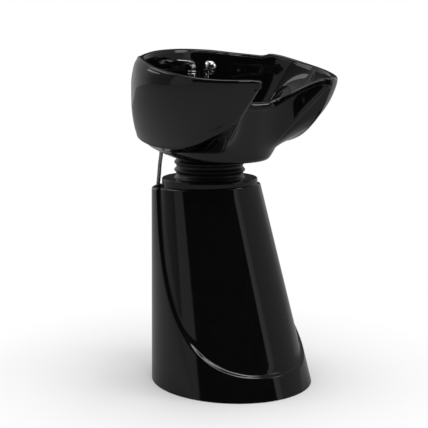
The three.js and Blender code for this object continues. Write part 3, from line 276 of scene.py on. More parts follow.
def path_frames(points, fixed_side=None):
    """Each point with two side vectors, which turn as little as possible or keep to a fixed side."""
    frames = []
    side = None
    for i, point in enumerate(points):
        ahead = points[min(i + 1, len(points) - 1)] - points[max(i - 1, 0)]
        ahead.normalize()
        if fixed_side is not None:
            side = Vector(fixed_side)
        elif side is None:
            side = ahead.orthogonal().normalized()
        side = (side - ahead * side.dot(ahead)).normalized()
        frames.append((point, side, ahead.cross(side)))
    return frames


def swept_piece(name, points, sizes, sides=32, fixed_side=None):
    """A bar along the points; sizes gives its two half widths at each share of the way."""
    frames = path_frames(points, fixed_side)
    rings = []
    for i, (point, side, other) in enumerate(frames):
        wide, thick = sizes(i / (len(frames) - 1))
        rings.append([point + side * wide * math.cos(2 * math.pi * k / sides)
                      + other * thick * math.sin(2 * math.pi * k / sides) for k in range(sides)])
    return loft_piece(name, rings)


def round_end(share, edge, least=0.0004):
    """From nearly nought at either end up to one within the edge, as a rounded tip does."""
    near = min(share, 1 - share) / edge
    return math.sqrt(max(1 - (1 - clamp(near))**2, least))


def levels(node):
    """The lowest and highest point of a solid."""
    low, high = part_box(node)
    return low.z, high.z


# Node helpers
def linear(hex_colour):
    """The linear colour of an sRGB hex value."""
    parts = [int(hex_colour[i:i + 2], 16) / 255 for i in (1, 3, 5)]
    return tuple(c / 12.92 if c <= 0.04045 else ((c + 0.055) / 1.055)**2.4 for c in parts) + (1.0,)


def add_node(tree, kind, settings=None, links=None):
    """Adds a node, sets its properties or inputs, and links its inputs."""
    node = tree.nodes.new(kind)
    for key, value in (settings or {}).items():
        if isinstance(key, int) or key in node.inputs:
            node.inputs[key].default_value = value
        else:
            setattr(node, key, value)
    for key, source in (links or {}).items():
        tree.links.new(source, node.inputs[key])
    return node


def start_material(name):
    """An empty material with its tree, and the piece's own coordinates."""
    material = bpy.data.materials.new(name)
    material.use_nodes = True
    tree = material.node_tree
    tree.nodes.clear()
    return material, tree, add_node(tree, "ShaderNodeTexCoord").outputs["Object"]


def end_material(tree, settings, links):
    """Adds the shader that the patterns feed, and the output."""
    shader = add_node(tree, "ShaderNodeBsdfPrincipled", settings, links)
    add_node(tree, "ShaderNodeOutputMaterial", links={"Surface": shader.outputs[0]})
    return shader


def clouded(tree, place, size, detail, colours, roughness):
    """Colour and roughness that drift together, in soft clouds of about the size in metres."""
    cloud = add_node(tree, "ShaderNodeTexNoise", {"Scale": 1 / size, "Detail": detail}, {"Vector": place})
    tint = add_node(tree, "ShaderNodeMix",
                    {"data_type": "RGBA", 6: linear(colours[0]), 7: linear(colours[1])},
                    {0: cloud.outputs[0]})
    rough = add_node(tree, "ShaderNodeMapRange", {"To Min": roughness[0], "To Max": roughness[1]},
                     {"Value": cloud.outputs[0]})
    return {"Base Color": tint.outputs[2], "Roughness": rough.outputs[0]}


def uneven(tree, place, size, detail, strength, depth):
    """Waves or grain of about the size in metres, bumped to the depth."""
    waves = add_node(tree, "ShaderNodeTexNoise", {"Scale": 1 / size, "Detail": detail}, {"Vector": place})
    bump = add_node(tree, "ShaderNodeBump", {"Strength": strength, "Distance": depth},
                    {"Height": waves.outputs[0]})
    return {"Normal": bump.outputs[0]}


def make_black_glaze(colour):
    """Glazed stoneware, dipped and fired: a deep mirror with the faint waves of a run glaze."""
    material, tree, place = start_material("glazed black stoneware")
    end_material(tree, {"IOR": 1.52}, {
        **clouded(tree, place, 0.02, 3.0, (colour, "#0b0b0d"), (0.02, 0.06)),
        **uneven(tree, place, 0.045, 1.5, 0.04, 0.0006)})
    return material


def make_gloss_shell(colour):
    """Gloss black ABS with an acrylic face, vacuum formed: mirror-like, with slow waves and wiping marks."""
    material, tree, place = start_material("gloss black ABS")
    marks = add_node(tree, "ShaderNodeTexNoise", {"Scale": 1 / 0.03, "Detail": 6.0, "Roughness": 0.6},
                     {"Vector": place})
    tint = add_node(tree, "ShaderNodeMix", {"data_type": "RGBA", 6: linear(colour), 7: linear("#0e0e10")},
                    {0: marks.outputs[0]})
    rough = add_node(tree, "ShaderNodeMapRange",
                     {"From Min": 0.3, "From Max": 0.75, "To Min": 0.035, "To Max": 0.085},
                     {"Value": marks.outputs[0]})
    end_material(tree, {"IOR": 1.49}, {
        "Base Color": tint.outputs[2], "Roughness": rough.outputs[0],
        **uneven(tree, place, 0.16, 0.0, 0.05, 0.0015)})
    return material


def make_rubber(colour):
    """Moulded EPDM rubber: a dull sheen over a fine eroded grain, with a little pale bloom."""
    material, tree, place = start_material("moulded EPDM rubber")
    # The real grain is finer, and is drawn at 1.2 mm so that it shows
    end_material(tree, {"IOR": 1.5}, {
        **clouded(tree, place, 0.02, 4.0, (colour, "#121214"), (0.24, 0.4)),
        **uneven(tree, place, 0.0012, 3.0, 0.25, 0.0002)})
    return material


def make_chrome():
    """Bright chrome plate on polished brass: a clear mirror with faint water marks."""
    material, tree, place = start_material("polished chrome plate")
    marks = add_node(tree, "ShaderNodeTexNoise", {"Scale": 1 / 0.006, "Detail": 5.0}, {"Vector": place})
    rough = add_node(tree, "ShaderNodeMapRange",
                     {"From Min": 0.35, "From Max": 0.8, "To Min": 0.04, "To Max": 0.12},
                     {"Value": marks.outputs[0]})
    end_material(tree, {"Metallic": 1.0, "Base Color": linear("#dfe1e3")}, {"Roughness": rough.outputs[0]})
    return material


def make_zinc_steel():
    """Zinc-plated pressed steel: pale grey, with a cloudy passivated film."""
    material, tree, place = start_material("zinc plated steel")
    end_material(tree, {"Metallic": 1.0},
                 clouded(tree, place, 0.009, 4.0, ("#a3a8ab", "#c2c4bd"), (0.28, 0.45)))
    return material


def make_frame_paint():
    """Powder coat on steel tube and plate: charcoal, satin, with a fine orange-peel skin."""
    material, tree, place = start_material("charcoal powder coat")
    wear = add_node(tree, "ShaderNodeTexNoise", {"Scale": 1 / 0.03, "Detail": 5.0}, {"Vector": place})
    rough = add_node(tree, "ShaderNodeMapRange", {"To Min": 0.4, "To Max": 0.55}, {"Value": wear.outputs[0]})
    end_material(tree, {"Base Color": linear("#26282b"), "IOR": 1.5}, {
        "Roughness": rough.outputs[0], **uneven(tree, place, 0.002, 2.0, 0.3, 0.0002)})
    return material


def make_braid_steel():
    """Drawn stainless wire, braided: bright crests, duller where the strands cross under."""
    material, tree, place = start_material("braided stainless wire")
    end_material(tree, {"Metallic": 1.0},
                 clouded(tree, place, 0.004, 3.0, ("#b9bcbe", "#dcdddd"), (0.2, 0.34)))
    return material


def make_brass():
    """Turned brass: warm yellow, with a little cloudy tarnish."""
    material, tree, place = start_material("turned brass")
    end_material(tree, {"Metallic": 1.0},
                 clouded(tree, place, 0.008, 4.0, ("#c9a65a", "#a98742"), (0.22, 0.4)))
    return material


def make_grey_plastic():
    """Extruded grey polypropylene of waste hoses: waxy, with pale streaks of flow."""
    material, tree, place = start_material("grey polypropylene")
    flow = add_node(tree, "ShaderNodeTexNoise", {"Scale": 1 / 0.01, "Detail": 3.0}, {"Vector": place})
    tint = add_node(tree, "ShaderNodeMix", {"data_type": "RGBA", 6: linear("#74777a"), 7: linear("#8b8e90")},
                    {0: flow.outputs[0]})
    end_material(tree, {"IOR": 1.49, "Roughness": 0.42}, {"Base Color": tint.outputs[2]})
    return material


def make_spray_plastic():
    """Satin black ABS of the spray's face, moulded with a fine spark grain."""
    material, tree, place = start_material("satin black ABS")
    # The real grain is finer, and is drawn at 0.8 mm so that it shows
    end_material(tree, {"Base Color": linear("#18181a"), "IOR": 1.5, "Roughness": 0.3},
                 uneven(tree, place, 0.0008, 2.0, 0.15, 0.0001))
    return material


def make_nozzle_rubber():
    """Soft silicone of the spray's nozzles: dull grey, with a faint moulded grain."""
    material, tree, place = start_material("grey silicone")
    # The real grain is finer, and is drawn at 1 mm so that it shows
    end_material(tree, {"Base Color": linear("#4c4e52"), "IOR": 1.43, "Roughness": 0.5},
                 uneven(tree, place, 0.001, 2.0, 0.1, 0.0001))
    return material


MAKERS = {
    "black_glaze": make_black_glaze, "black_shell": make_gloss_shell, "bellows_rubber": make_rubber,
    "chrome_plate": make_chrome, "zinc_steel": make_zinc_steel, "frame_paint": make_frame_paint,
    "steel_braid": make_braid_steel, "nut_brass": make_brass, "waste_plastic": make_grey_plastic,
    "spray_plastic": make_spray_plastic,
}
made_materials = {}


def material_for(slot_name):
    if slot_name not in made_materials:
        finish = bpy.context.scene.basin_finish
        colours = {"black_glaze": finish.glaze_colour, "black_shell": finish.shell_colour,
                   "bellows_rubber": finish.rubber_colour}
        maker = MAKERS[slot_name]
        made_materials[slot_name] = maker(colours[slot_name]) if slot_name in colours else maker()
    return made_materials[slot_name]


def dress(piece, slot_name, body, *nodes):
    """Gives a piece its finish and its body, and lets it stand for the named solids."""
    piece.data.materials.clear()
    piece.data.materials.append(material_for(slot_name))
    if nodes:
        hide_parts(*nodes)
    if isinstance(body, str):
        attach(piece, body)
    else:
        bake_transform(piece)
    return piece


class BowlShape:
    """The glazed bowl as columns of points that run from the drain over the rim to the foot."""

    rim_centre_y = -0.130
    rim_roll = 0.009
    rim_steps = 8
    rim_slope = 0.15
    wing_angle = 152 * DEGREE
    wing_half_width = 0.130
    neck_depth_y = -0.224
    neck_roll = 0.014
    neck_drop = 0.0726
    neck_side_power = 2.5
    step_at_neck = 0.003
    step_run_share = 0.3
    lip_wall = 0.010
    nose_radius = 0.005
    nose_roll_in = 0.002
    nose_blend_angle = 12 * DEGREE
    nose_foot_turn = 6 * DEGREE
    land_start_angle = 100 * DEGREE
    land_end_share = 0.4
    land_margin = 0.004
    land_dish = 0.006
    land_corner = (0.158, -0.258)
    shoulder_rise = 0.006
    shoulder_depth = 0.024
    shoulder_end_angle = 80 * DEGREE
    shoulder_gone_angle = 120 * DEGREE
    cheek_spacing_power = 1.8
    cheek_rows = 16
    wall_power = 1.6
    wall = 0.014
    wall_at_seam = 0.027
    wall_draft = 0.2
    cheek_draft = 0.6
    draft_start_angle = 70 * DEGREE
    draft_end_angle = 95 * DEGREE
    throat_in_share = 0.5
    throat_down_share = 0.45
    throat_rows = 6
    basin_corner_share = 0.15
    wing_corner_share = 0.45
    floor_rows = 9
    wall_rows = 13
    land_rows = 4
    foot_ring_share = 0.965
    skirt_gap = 0.005
    skirt_blend = 1.2
    neck_probe_share = 0.01
    neck_side_fall_share = 0.35
    foot_turn_share = 0.985
    heel_radius = 0.184
    heel_centre_y = -0.012
    heel_front_y = -0.178
    heel_back_y = 0.140
    heel_height_share = 0.175
    floor_height_share = 0.115
    drain_hole_radius = 0.024
    drain_seat_radius = 0.037
    drain_seat_depth = 0.004
    foot_recess_radius = 0.046
    foot_recess_depth = 0.017

    def __init__(self, sizes, bellows_radius):
        self.height = sizes.bowl_height
        self.rim_radius = sizes.rim_radius
        self.foot = sizes.foot_height
        self.bellows_radius = bellows_radius
        self.rim_height = self.foot + self.height
        self.wing_tip_y = self.rim_centre_y + self.rim_radius * math.cos(self.wing_angle)

    def height_at(self, share):
        return self.foot + self.height * share

    def cheek_point(self, angle, height, inset):
        share = (height - self.foot) / self.height
        radius = self.rim_radius * along_table(CHEEK_HEIGHT_SHARES, CHEEK_RADIUS_SHARES, share) - inset
        centre = self.rim_centre_y * along_table(CHEEK_HEIGHT_SHARES, CHEEK_CENTRE_SHARES, share)
        return (radius * math.sin(angle), centre + radius * math.cos(angle), height)

    def rim_height_at(self, y):
        return self.rim_height + self.rim_slope * (y - self.rim_centre_y)

    def rim_rise(self, angle):
        """The rim dips a little round the back, steps up where the cheeks begin, and lifts at the wings."""
        return self.height * along_table(RIM_TURNS, RIM_RISE_SHARES, angle / DEGREE)

    def swoosh(self, angle):
        """Where the cheek ends at an angle, how high its edge rolls, and how far inwards."""
        turn = angle / DEGREE
        return (self.height_at(along_table(SWOOSH_TURNS, SWOOSH_LOW_SHARES, turn)),
                self.height * along_table(SWOOSH_TURNS, SWOOSH_RISE_SHARES, turn),
                self.rim_radius * along_table(SWOOSH_TURNS, SWOOSH_REACH_SHARES, turn))

    def neck_curve(self, share):
        """The U of the neck cut-out, from the wing's side to the middle of the lip."""
        turn = (1 - (1 - share)**2) * math.pi / 2
        half = self.wing_half_width - self.rim_roll
        x = half * math.sqrt(max(math.cos(turn), 0))
        front = self.wing_tip_y + 2 * self.rim_roll
        inwards = math.sin(turn)
        tip = self.rim_height_at(self.wing_tip_y) - self.rim_roll + self.rim_rise(self.wing_angle)
        side = (x / half)**self.neck_side_power * (1 - self.neck_side_fall_share * inwards)
        return (x, front + (self.neck_depth_y - front) * inwards, tip - self.neck_drop * (1 - side))

    def neck_normal(self, share):
        if share >= 1:
            return (0, -1)
        ahead = self.neck_curve(min(share + self.neck_probe_share, 1))
        behind = self.neck_curve(max(share - self.neck_probe_share, 0))
        along = (ahead[0] - behind[0], ahead[1] - behind[1])
        length = math.hypot(*along)
        return (-along[1] / length, along[0] / length)

    def land_corner_point(self):
        return (*self.land_corner, self.rim_height_at(self.wing_tip_y) - self.rim_roll - self.land_dish
                + self.rim_rise(self.wing_angle))

    def cheek_seam(self, angle):
        radius = self.rim_radius - 2 * self.rim_roll - self.land_margin
        y = self.rim_centre_y + (self.rim_radius - self.rim_roll) * math.cos(angle)
        return (radius * math.sin(angle), self.rim_centre_y + radius * math.cos(angle),
                self.rim_height_at(y) - self.rim_roll + self.rim_rise(angle))

    def neck_seam(self, share):
        here, normal = self.neck_curve(share), self.neck_normal(share)
        reach = lerp(self.rim_roll, self.neck_roll, share) + self.land_margin
        return (here[0] - reach * normal[0], here[1] - reach * normal[1], here[2])

    def cheek_column(self, share):
        """What one column needs between the middle of the back and the wing's tip."""
        angle = self.wing_angle * (1 - (1 - share)**self.cheek_spacing_power)
        normal = (math.sin(angle), math.cos(angle))
        radius = self.rim_radius - self.rim_roll
        y = self.rim_centre_y + radius * normal[1]
        centre = (radius * normal[0], y, self.rim_height_at(y) - self.rim_roll + self.rim_rise(angle))
        land = max((angle - self.land_start_angle) / (self.wing_angle - self.land_start_angle), 0)
        low, rise, reach = self.swoosh(angle)
        return {
            "centre": centre, "normal": normal, "roll": self.rim_roll, "angle": angle, "land": land,
            "edge": blend_points(self.cheek_seam(min(angle, self.land_start_angle)),
                                 self.land_corner_point(), land),
            "roll_in": lerp(self.rim_roll, self.nose_roll_in,
                            smoothstep(angle, self.wing_angle - self.nose_blend_angle, self.wing_angle)),
            "foot_angle": angle * self.foot_turn_share,
            "low": low, "step": rise, "step_reach": reach,
            "kind": "cheek",
        }

    def nose_column(self, share):
        """Turns from the wing's side into the neck recess, round the wing's tip."""
        start = self.cheek_column(1)
        turn = self.wing_angle + (1.5 * math.pi - self.wing_angle) * share
        normal = (math.sin(turn), math.cos(turn))
        centre = (start["centre"][0] + self.nose_radius * (normal[0] - start["normal"][0]),
                  start["centre"][1] + self.nose_radius * (normal[1] - start["normal"][1]),
                  start["centre"][2])
        return {**start, "centre": centre, "normal": normal,
                "foot_angle": start["foot_angle"] + share / 3 * self.nose_foot_turn,
                "step": lerp(start["step"], self.step_at_neck, share),
                "step_reach": lerp(start["step_reach"], self.step_at_neck, share),
                "low": lerp(start["low"], centre[2] - self.lip_wall, share), "kind": "nose"}

    def neck_column(self, share):
        """What one column needs between the wing's tip and the middle of the neck recess."""
        here = self.neck_curve(share)
        roll = lerp(self.rim_roll, self.neck_roll, share)
        land = 1 - min(share / self.land_end_share, 1)
        return {
            "centre": here, "normal": self.neck_normal(share), "roll": roll, "angle": self.wing_angle,
            "edge": blend_points(self.neck_seam(max(share, self.land_end_share)),
                                 self.land_corner_point(), land),
            "roll_in": lerp(self.nose_roll_in, roll, smoothstep(share, 0, self.land_end_share)),
            "land": land,
            "foot_angle": lerp(self.wing_angle * self.foot_turn_share + self.nose_foot_turn / 2,
                               math.pi, share),
            "step": self.step_at_neck, "step_reach": self.step_at_neck,
            "low": here[2] - self.lip_wall, "kind": "neck",
        }

    def half_columns(self, cheek, nose, neck):
        columns = [self.cheek_column(i / (cheek - 1)) for i in range(cheek)]
        columns += [self.nose_column(i / (nose + 1)) for i in range(1, nose + 1)]
        columns += [self.neck_column(i / neck) for i in range(neck + 1)]
        return columns

    def heel_point(self, turn):
        """Where the basin's floor turns up into its wall."""
        y = self.heel_centre_y + self.heel_radius * math.cos(turn)
        return (self.heel_radius * math.sin(turn), clamp(y, self.heel_front_y, self.heel_back_y),
                self.height_at(self.heel_height_share))

    def inside(self, column):
        """From the drain's seat over the floor and up the wall, to the rim's inner edge."""
        edge = column["edge"]
        heel = self.heel_point(column["foot_angle"])
        floor = self.height_at(self.floor_height_share)
        turn = math.atan2(heel[0], heel[1])
        seat = (self.drain_seat_radius * math.sin(turn), self.drain_seat_radius * math.cos(turn), floor)
        points = [seat, seat]
        for row in range(1, self.floor_rows + 1):
            share = row / self.floor_rows
            x, y, _ = blend_points(seat, heel, share)
            points.append((x, y, floor + (heel[2] - floor) * share**2))
        corner_share = lerp(self.basin_corner_share, self.wing_corner_share,
                            1 if column["kind"] == "neck" else column["land"])
        x, y, _ = blend_points(heel, edge, 1 - corner_share)
        corner = (x, y, heel[2] + (edge[2] - heel[2]) * corner_share)
        for row in range(1, self.wall_rows + 1):
            share = row / self.wall_rows
            place = blend_points(blend_points(heel, corner, share), blend_points(corner, edge, share), share)
            points.append(self.along_cheek(column, place, share))
        start = self.over_rim(column)[0]
        points += [blend_points(edge, start, row / self.land_rows) for row in range(1, self.land_rows)]
        return points

    def along_cheek(self, column, place, share):
        """Draws a point of the inner wall towards the outer one, which it follows round the back."""
        if column["kind"] != "cheek":
            return place
        weight = (1 - column["land"]) * (1 - (2 * share - 1)**4)
        draft = lerp(self.wall_draft, self.cheek_draft,
                     smoothstep(column["angle"], self.draft_start_angle, self.draft_end_angle))
        inset = self.wall_at_seam + draft * max(column["edge"][2] - place[2], 0)
        return blend_points(place, self.cheek_point(column["angle"], place[2], inset), weight)

    def over_rim(self, column):
        centre, normal = column["centre"], column["normal"]
        points = []
        for i in range(self.rim_steps + 1):
            turn = math.pi * (1 - i / self.rim_steps)
            out = column["roll_in" if i < self.rim_steps / 2 else "roll"] * math.cos(turn)
            points.append((centre[0] + normal[0] * out, centre[1] + normal[1] * out,
                           centre[2] + column["roll"] * math.sin(turn)))
        return points

    def shoulder_at(self, angle, below):
        """How far the back swells just below its rim."""
        around = 1 - smoothstep(angle, self.shoulder_end_angle, self.shoulder_gone_angle)
        depth = below / self.shoulder_depth
        return self.shoulder_rise * around * depth * math.exp(1 - depth)

    def down_cheek(self, column, top):
        points = []
        bottom = column["low"] + column["step"]
        start = self.cheek_point(column["angle"], top[2], 0)
        for row in range(1, self.cheek_rows + 1):
            share = (row / self.cheek_rows)**self.wall_power
            height = top[2] + (bottom - top[2]) * share
            if column["kind"] == "cheek":
                place = self.cheek_point(column["angle"], height,
                                         -self.shoulder_at(column["angle"], top[2] - height))
                fade = (1 - share)**2
                points.append((place[0] + (top[0] - start[0]) * fade,
                               place[1] + (top[1] - start[1]) * fade, height))
            else:
                points.append((top[0], top[1], height))
        return points

    def under_step(self, column, start):
        """Rolls the swoosh's edge inwards, a sixth of a quarter turn at a time, and a run beyond it."""
        normal, rise, reach = column["normal"], column["step"], column["step_reach"]
        points = []
        for turn in (-15, -30, -45, -60, -75, -90):
            out = reach * (math.cos(turn * DEGREE) - 1)
            points.append((start[0] + normal[0] * out, start[1] + normal[1] * out,
                           start[2] + rise * math.sin(turn * DEGREE)))
        run = (1 + self.step_run_share) * reach
        points.append((start[0] - run * normal[0], start[1] - run * normal[1], start[2] - rise))
        return points

    def round_bellows(self, place):
        """Keeps the underside clear of the bellows."""
        x, y, z = place
        reach = math.hypot(x, y)
        clear = self.bellows_radius + self.skirt_gap
        scale = max(clear / reach, 1)
        low = lerp(max(z, self.foot), z, smoothstep(reach, clear, self.skirt_blend * clear))
        return (x * scale, y * scale, low)

    def body_circle(self, turn, share):
        """A point of the underside at a share of the bowl's height."""
        radius = self.rim_radius * along_table(BODY_HEIGHT_SHARES, BODY_RADIUS_SHARES, share)
        centre = self.rim_centre_y * along_table(BODY_HEIGHT_SHARES, BODY_CENTRE_SHARES, share)
        return self.round_bellows((radius * math.sin(turn), centre + radius * math.cos(turn),
                                   self.height_at(share)))

    def down_body(self, column, start, steps=3):
        """Down the throat and the underside to the foot, and up inside it to the drain."""
        turn = column["foot_angle"]
        first = self.body_circle(turn, BODY_HEIGHT_SHARES[-1])
        bulge = (lerp(start[0], first[0], self.throat_in_share),
                 lerp(start[1], first[1], self.throat_in_share),
                 lerp(start[2], first[2], self.throat_down_share))
        points = []
        for row in range(1, self.throat_rows):
            share = row / self.throat_rows
            points.append(blend_points(blend_points(start, bulge, share), blend_points(bulge, first, share),
                                       share))
        for upper, lower in zip(BODY_HEIGHT_SHARES[::-1], BODY_HEIGHT_SHARES[-2::-1]):
            points += [self.body_circle(turn, lerp(upper, lower, step / steps)) for step in range(steps)]
        points.append(self.body_circle(turn, BODY_HEIGHT_SHARES[0]))
        x, y, _ = points[-1]
        points.append((x * self.foot_ring_share, y * self.foot_ring_share, self.foot))
        recess = self.foot + self.foot_recess_depth
        seat = self.height_at(self.floor_height_share) - self.drain_seat_depth
        for radius, height in ((self.foot_recess_radius, self.foot), (self.foot_recess_radius, recess),
                               (self.drain_hole_radius, recess), (self.drain_hole_radius, seat),
                               (self.drain_seat_radius, seat)):
            points += [(radius * math.sin(turn), radius * math.cos(turn), height)] * 2
        return points

    def line(self, column):
        points = self.inside(column)
        points += self.over_rim(column)
        points += self.down_cheek(column, points[-1])
        points += self.under_step(column, points[-1])
        points += self.down_body(column, points[-1])
        return points


def bowl_surface(shape):
    columns = shape.half_columns(cheek=96, nose=8, neck=40)
    half = [closed_spline(shape.line(column), steps=2) for column in columns]
    mirrored = [[(-x, y, z) for x, y, z in line] for line in reversed(half[1:-1])]
    lines = half + mirrored
    rows = len(lines[0])
    points = [line[row] for row in range(rows) for line in lines]
    return new_piece("bowl_glazed", points, grid_faces(rows, len(lines), close_rows=True), smooth_angle=50)


# The tap deck grows from under the basin's floor, and a box trims it in front
DECK_SIDES = 160
DECK_EDGE_RADIUS = 0.012
DECK_UNDER_FLOOR = 0.008
DECK_BOX_LOW = 0.6
DECK_BOX_REACH = 0.3


def deck_block(shape, sizes):
    """The raised tap deck, as a block that grows into the bowl's wall."""
    top = shape.height_at(sizes.deck_share)
    heel = shape.height_at(shape.heel_height_share)
    turns = [2 * math.pi * i / DECK_SIDES for i in range(DECK_SIDES)]
    bottom = shape.height_at(shape.floor_height_share) - DECK_UNDER_FLOOR
    rings = [[(radius * math.sin(turn), shape.heel_centre_y + radius * math.cos(turn), height)
              for turn in turns]
             for radius, height in ((shape.heel_radius - shape.wall, bottom),
                                    (shape.heel_radius + shape.wall / 2, heel))]
    rings += [[shape.cheek_point(turn, lerp(heel, top, share), shape.wall / 2) for turn in turns]
              for share in (0.25, 0.5, 0.75, 1)]
    block = loft_piece("deck_block", rings)
    front, radius = sizes.deck_front, DECK_EDGE_RADIUS
    edge = [(front, DECK_BOX_LOW)]
    edge += [(front + radius * (1 - math.cos(t * 9 * DEGREE)), top - radius * (1 - math.sin(t * 9 * DEGREE)))
             for t in range(11)]
    edge += [(DECK_BOX_REACH, top), (DECK_BOX_REACH, DECK_BOX_LOW)]
    keep = loft_piece("deck_keep", [[(x, y, z) for y, z in edge] for x in (-DECK_BOX_REACH, DECK_BOX_REACH)])
    carve(block, keep, "INTERSECT")
    return block


def size_setting(name, description, default):
    """A size that a user can change, in metres."""
    return bpy.props.FloatProperty(name=name, description=description, default=default, unit="LENGTH")


def colour_setting(name, piece, default):
    """A colour that a user can change."""
    return bpy.props.StringProperty(name=name, description="sRGB hex colour of " + piece, default=default)


class BowlSizes(bpy.types.PropertyGroup):
    bowl_height: size_setting("Bowl height", "From the foot to the middle of the rim", 0.268)
    rim_radius: size_setting("Rim radius", "Outer radius of the round rim", 0.287)
    foot_height: size_setting("Foot height", "Height of the bowl's foot above the floor", 0.670)
    deck_share: bpy.props.FloatProperty(
        name="Deck height share", description="Height of the tap deck as a share of the bowl", default=0.7)
    deck_front: size_setting("Deck front", "Where the tap deck begins behind the drain", 0.046)


class PedestalSizes(bpy.types.PropertyGroup):
    base_half_width: size_setting("Base half width", "Half width at the floor", 0.234)
    base_half_depth: size_setting("Base half depth", "Half depth at the floor", 0.252)
    top_half_width: size_setting("Top half width", "Half width at the top", 0.172)
    top_half_depth: size_setting("Top half depth", "Half depth at the top", 0.164)
    shell_height: size_setting("Shell height", "Height of the moulded shell", 0.577)
    panel_inset: size_setting("Panel inset", "How deep the front panel lies in its ledge", 0.009)
    ledge_bevel: size_setting("Ledge bevel", "Width of the bevel round the panel", 0.009)
    ledge_foot: size_setting("Ledge foot", "Height of the ledge's lowest point", 0.070)
    cap_height: size_setting("Cap height", "Height of the raised cap's top", 0.600)
    cap_radius: size_setting("Cap radius", "Radius of the raised cap", 0.144)


class BellowsSizes(bpy.types.PropertyGroup):
    radius: size_setting("Radius", "Outer radius of the folds", 0.107)
    fold_depth: size_setting("Fold depth", "Depth of each fold", 0.007)
    folds: bpy.props.IntProperty(name="Folds", description="Number of folds", default=3, min=1)


class HoseSizes(bpy.types.PropertyGroup):
    shower_radius: size_setting("Shower hose radius", "Outer radius of the shower hose", 0.006)
    supply_radius: size_setting("Supply hose radius", "Outer radius of a supply hose", 0.005)
    waste_radius: size_setting("Waste hose radius", "Outer radius of the waste hose", 0.019)


class BasinFinish(bpy.types.PropertyGroup):
    glaze_colour: colour_setting("Glaze", "the bowl's glaze", "#050506")
    shell_colour: colour_setting("Shell", "the pedestal's shell", "#060607")
    rubber_colour: colour_setting("Rubber", "the bellows", "#0a0a0b")
    floor_colour: colour_setting("Floor", "the studio floor", "#f4f4f4")


# Holes in the bowl, for the fittings in its deck and the hoses in its foot
MIXER_HOLE_RADIUS = 0.0183
SPRAY_HOLE_RADIUS = 0.0143
DECK_HOLE_REACH = 0.03
FOOT_HOLE_BELOW = 0.03
FOOT_HOLE_ABOVE = 0.11


class BASIN_OT_bowl(bpy.types.Operator):
    """Makes the glazed bowl with its wings, neck recess and tap deck"""
    bl_idname = "basin.make_bowl"
    bl_label = "Make bowl"

    def execute(self, context):
        sizes = context.scene.basin_bowl
        shape = BowlShape(sizes, context.scene.basin_bellows.radius)
        bowl = bowl_surface(shape)
        carve(bowl, deck_block(shape, sizes), "UNION")
        deck = shape.height_at(sizes.deck_share)
        for place, radius in ((MIXER, MIXER_HOLE_RADIUS), (SPRAY, SPRAY_HOLE_RADIUS)):
            carve(bowl, upright_cutter(place, radius, deck - DECK_HOLE_REACH, deck + DECK_HOLE_REACH))
        for place in HOSE_HOLES:
            carve(bowl, upright_cutter(place, HOSE_HOLE_RADIUS, shape.foot - FOOT_HOLE_BELOW,
                                       shape.foot + FOOT_HOLE_ABOVE))
        clean(bowl, 40)
        dress(bowl, "black_glaze", "bowl", "ceramic_bowl")
        return {"FINISHED"}


# The pedestal leans: its middle at the floor and at the top, and how far its top falls towards the back
PEDESTAL_LOW_Y = -0.106
PEDESTAL_TOP_Y = 0.010
PEDESTAL_FALL = 0.008
SHELL_WALL = 0.005
SHELL_TOP_ROUND = 0.007
SHELL_OPENING_RADIUS = 0.126
# How far round the shell the ledge goes from the front, and how much its bevel curls
LEDGE_REACH = 97 * DEGREE
LEDGE_CURL = 0.6
# The notch at the back that lets the hoses out
NOTCH_HALF_WIDTH = 0.065
NOTCH_HEIGHT = 0.070
NOTCH_BELOW = 0.004
NOTCH_END_Y = 0.252
GROMMET_HOLE_RADIUS = 0.0098
GROMMET_HOLE_LEVELS = (0.55, 0.60)
CAP_WALL = 0.006
CAP_OPENING_RADIUS = 0.042
CAP_BOLTS = [(x, y) for x in (-0.055, 0.055) for y in (-0.035, 0.035)]
CAP_BOLT_HOLE_RADIUS = 0.0043
CAP_HOLE_LEVELS = (0.58, 0.62)
CAP_EDGE_RADIUS = 0.005
CAP_INNER_RADIUS = 0.002


def pedestal_point(sizes, angle, height, inset):
    share = height / sizes.shell_height
    half_width = lerp(sizes.base_half_width, sizes.top_half_width, share) - inset
    half_depth = lerp(sizes.base_half_depth, sizes.top_half_depth, share) - inset
    centre = lerp(PEDESTAL_LOW_Y, PEDESTAL_TOP_Y, share)
    return (half_width * math.sin(angle), centre - half_depth * math.cos(angle), height)


def side_top(sizes, angle, inset):
    """Where the shell's side ends at an angle, and its rounded top edge begins."""
    y = pedestal_point(sizes, angle, sizes.shell_height, inset)[1]
    fall = PEDESTAL_FALL * (y - PEDESTAL_TOP_Y) / sizes.top_half_depth
    return sizes.shell_height - fall - SHELL_TOP_ROUND


def ledge_height(sizes, angle, reach, foot):
    share = min(abs(angle) / reach, 1)**3
    return lerp(foot, sizes.shell_height + sizes.panel_inset, 1 - math.sqrt(1 - share))


def shrink(point, inset, rise):
    """Moves a point of the top edge towards the pedestal's middle, and up."""
    x, y, z = point
    scale = 1 - inset / math.hypot(x, y - PEDESTAL_TOP_Y)
    return (x * scale, PEDESTAL_TOP_Y + (y - PEDESTAL_TOP_Y) * scale, z + rise)


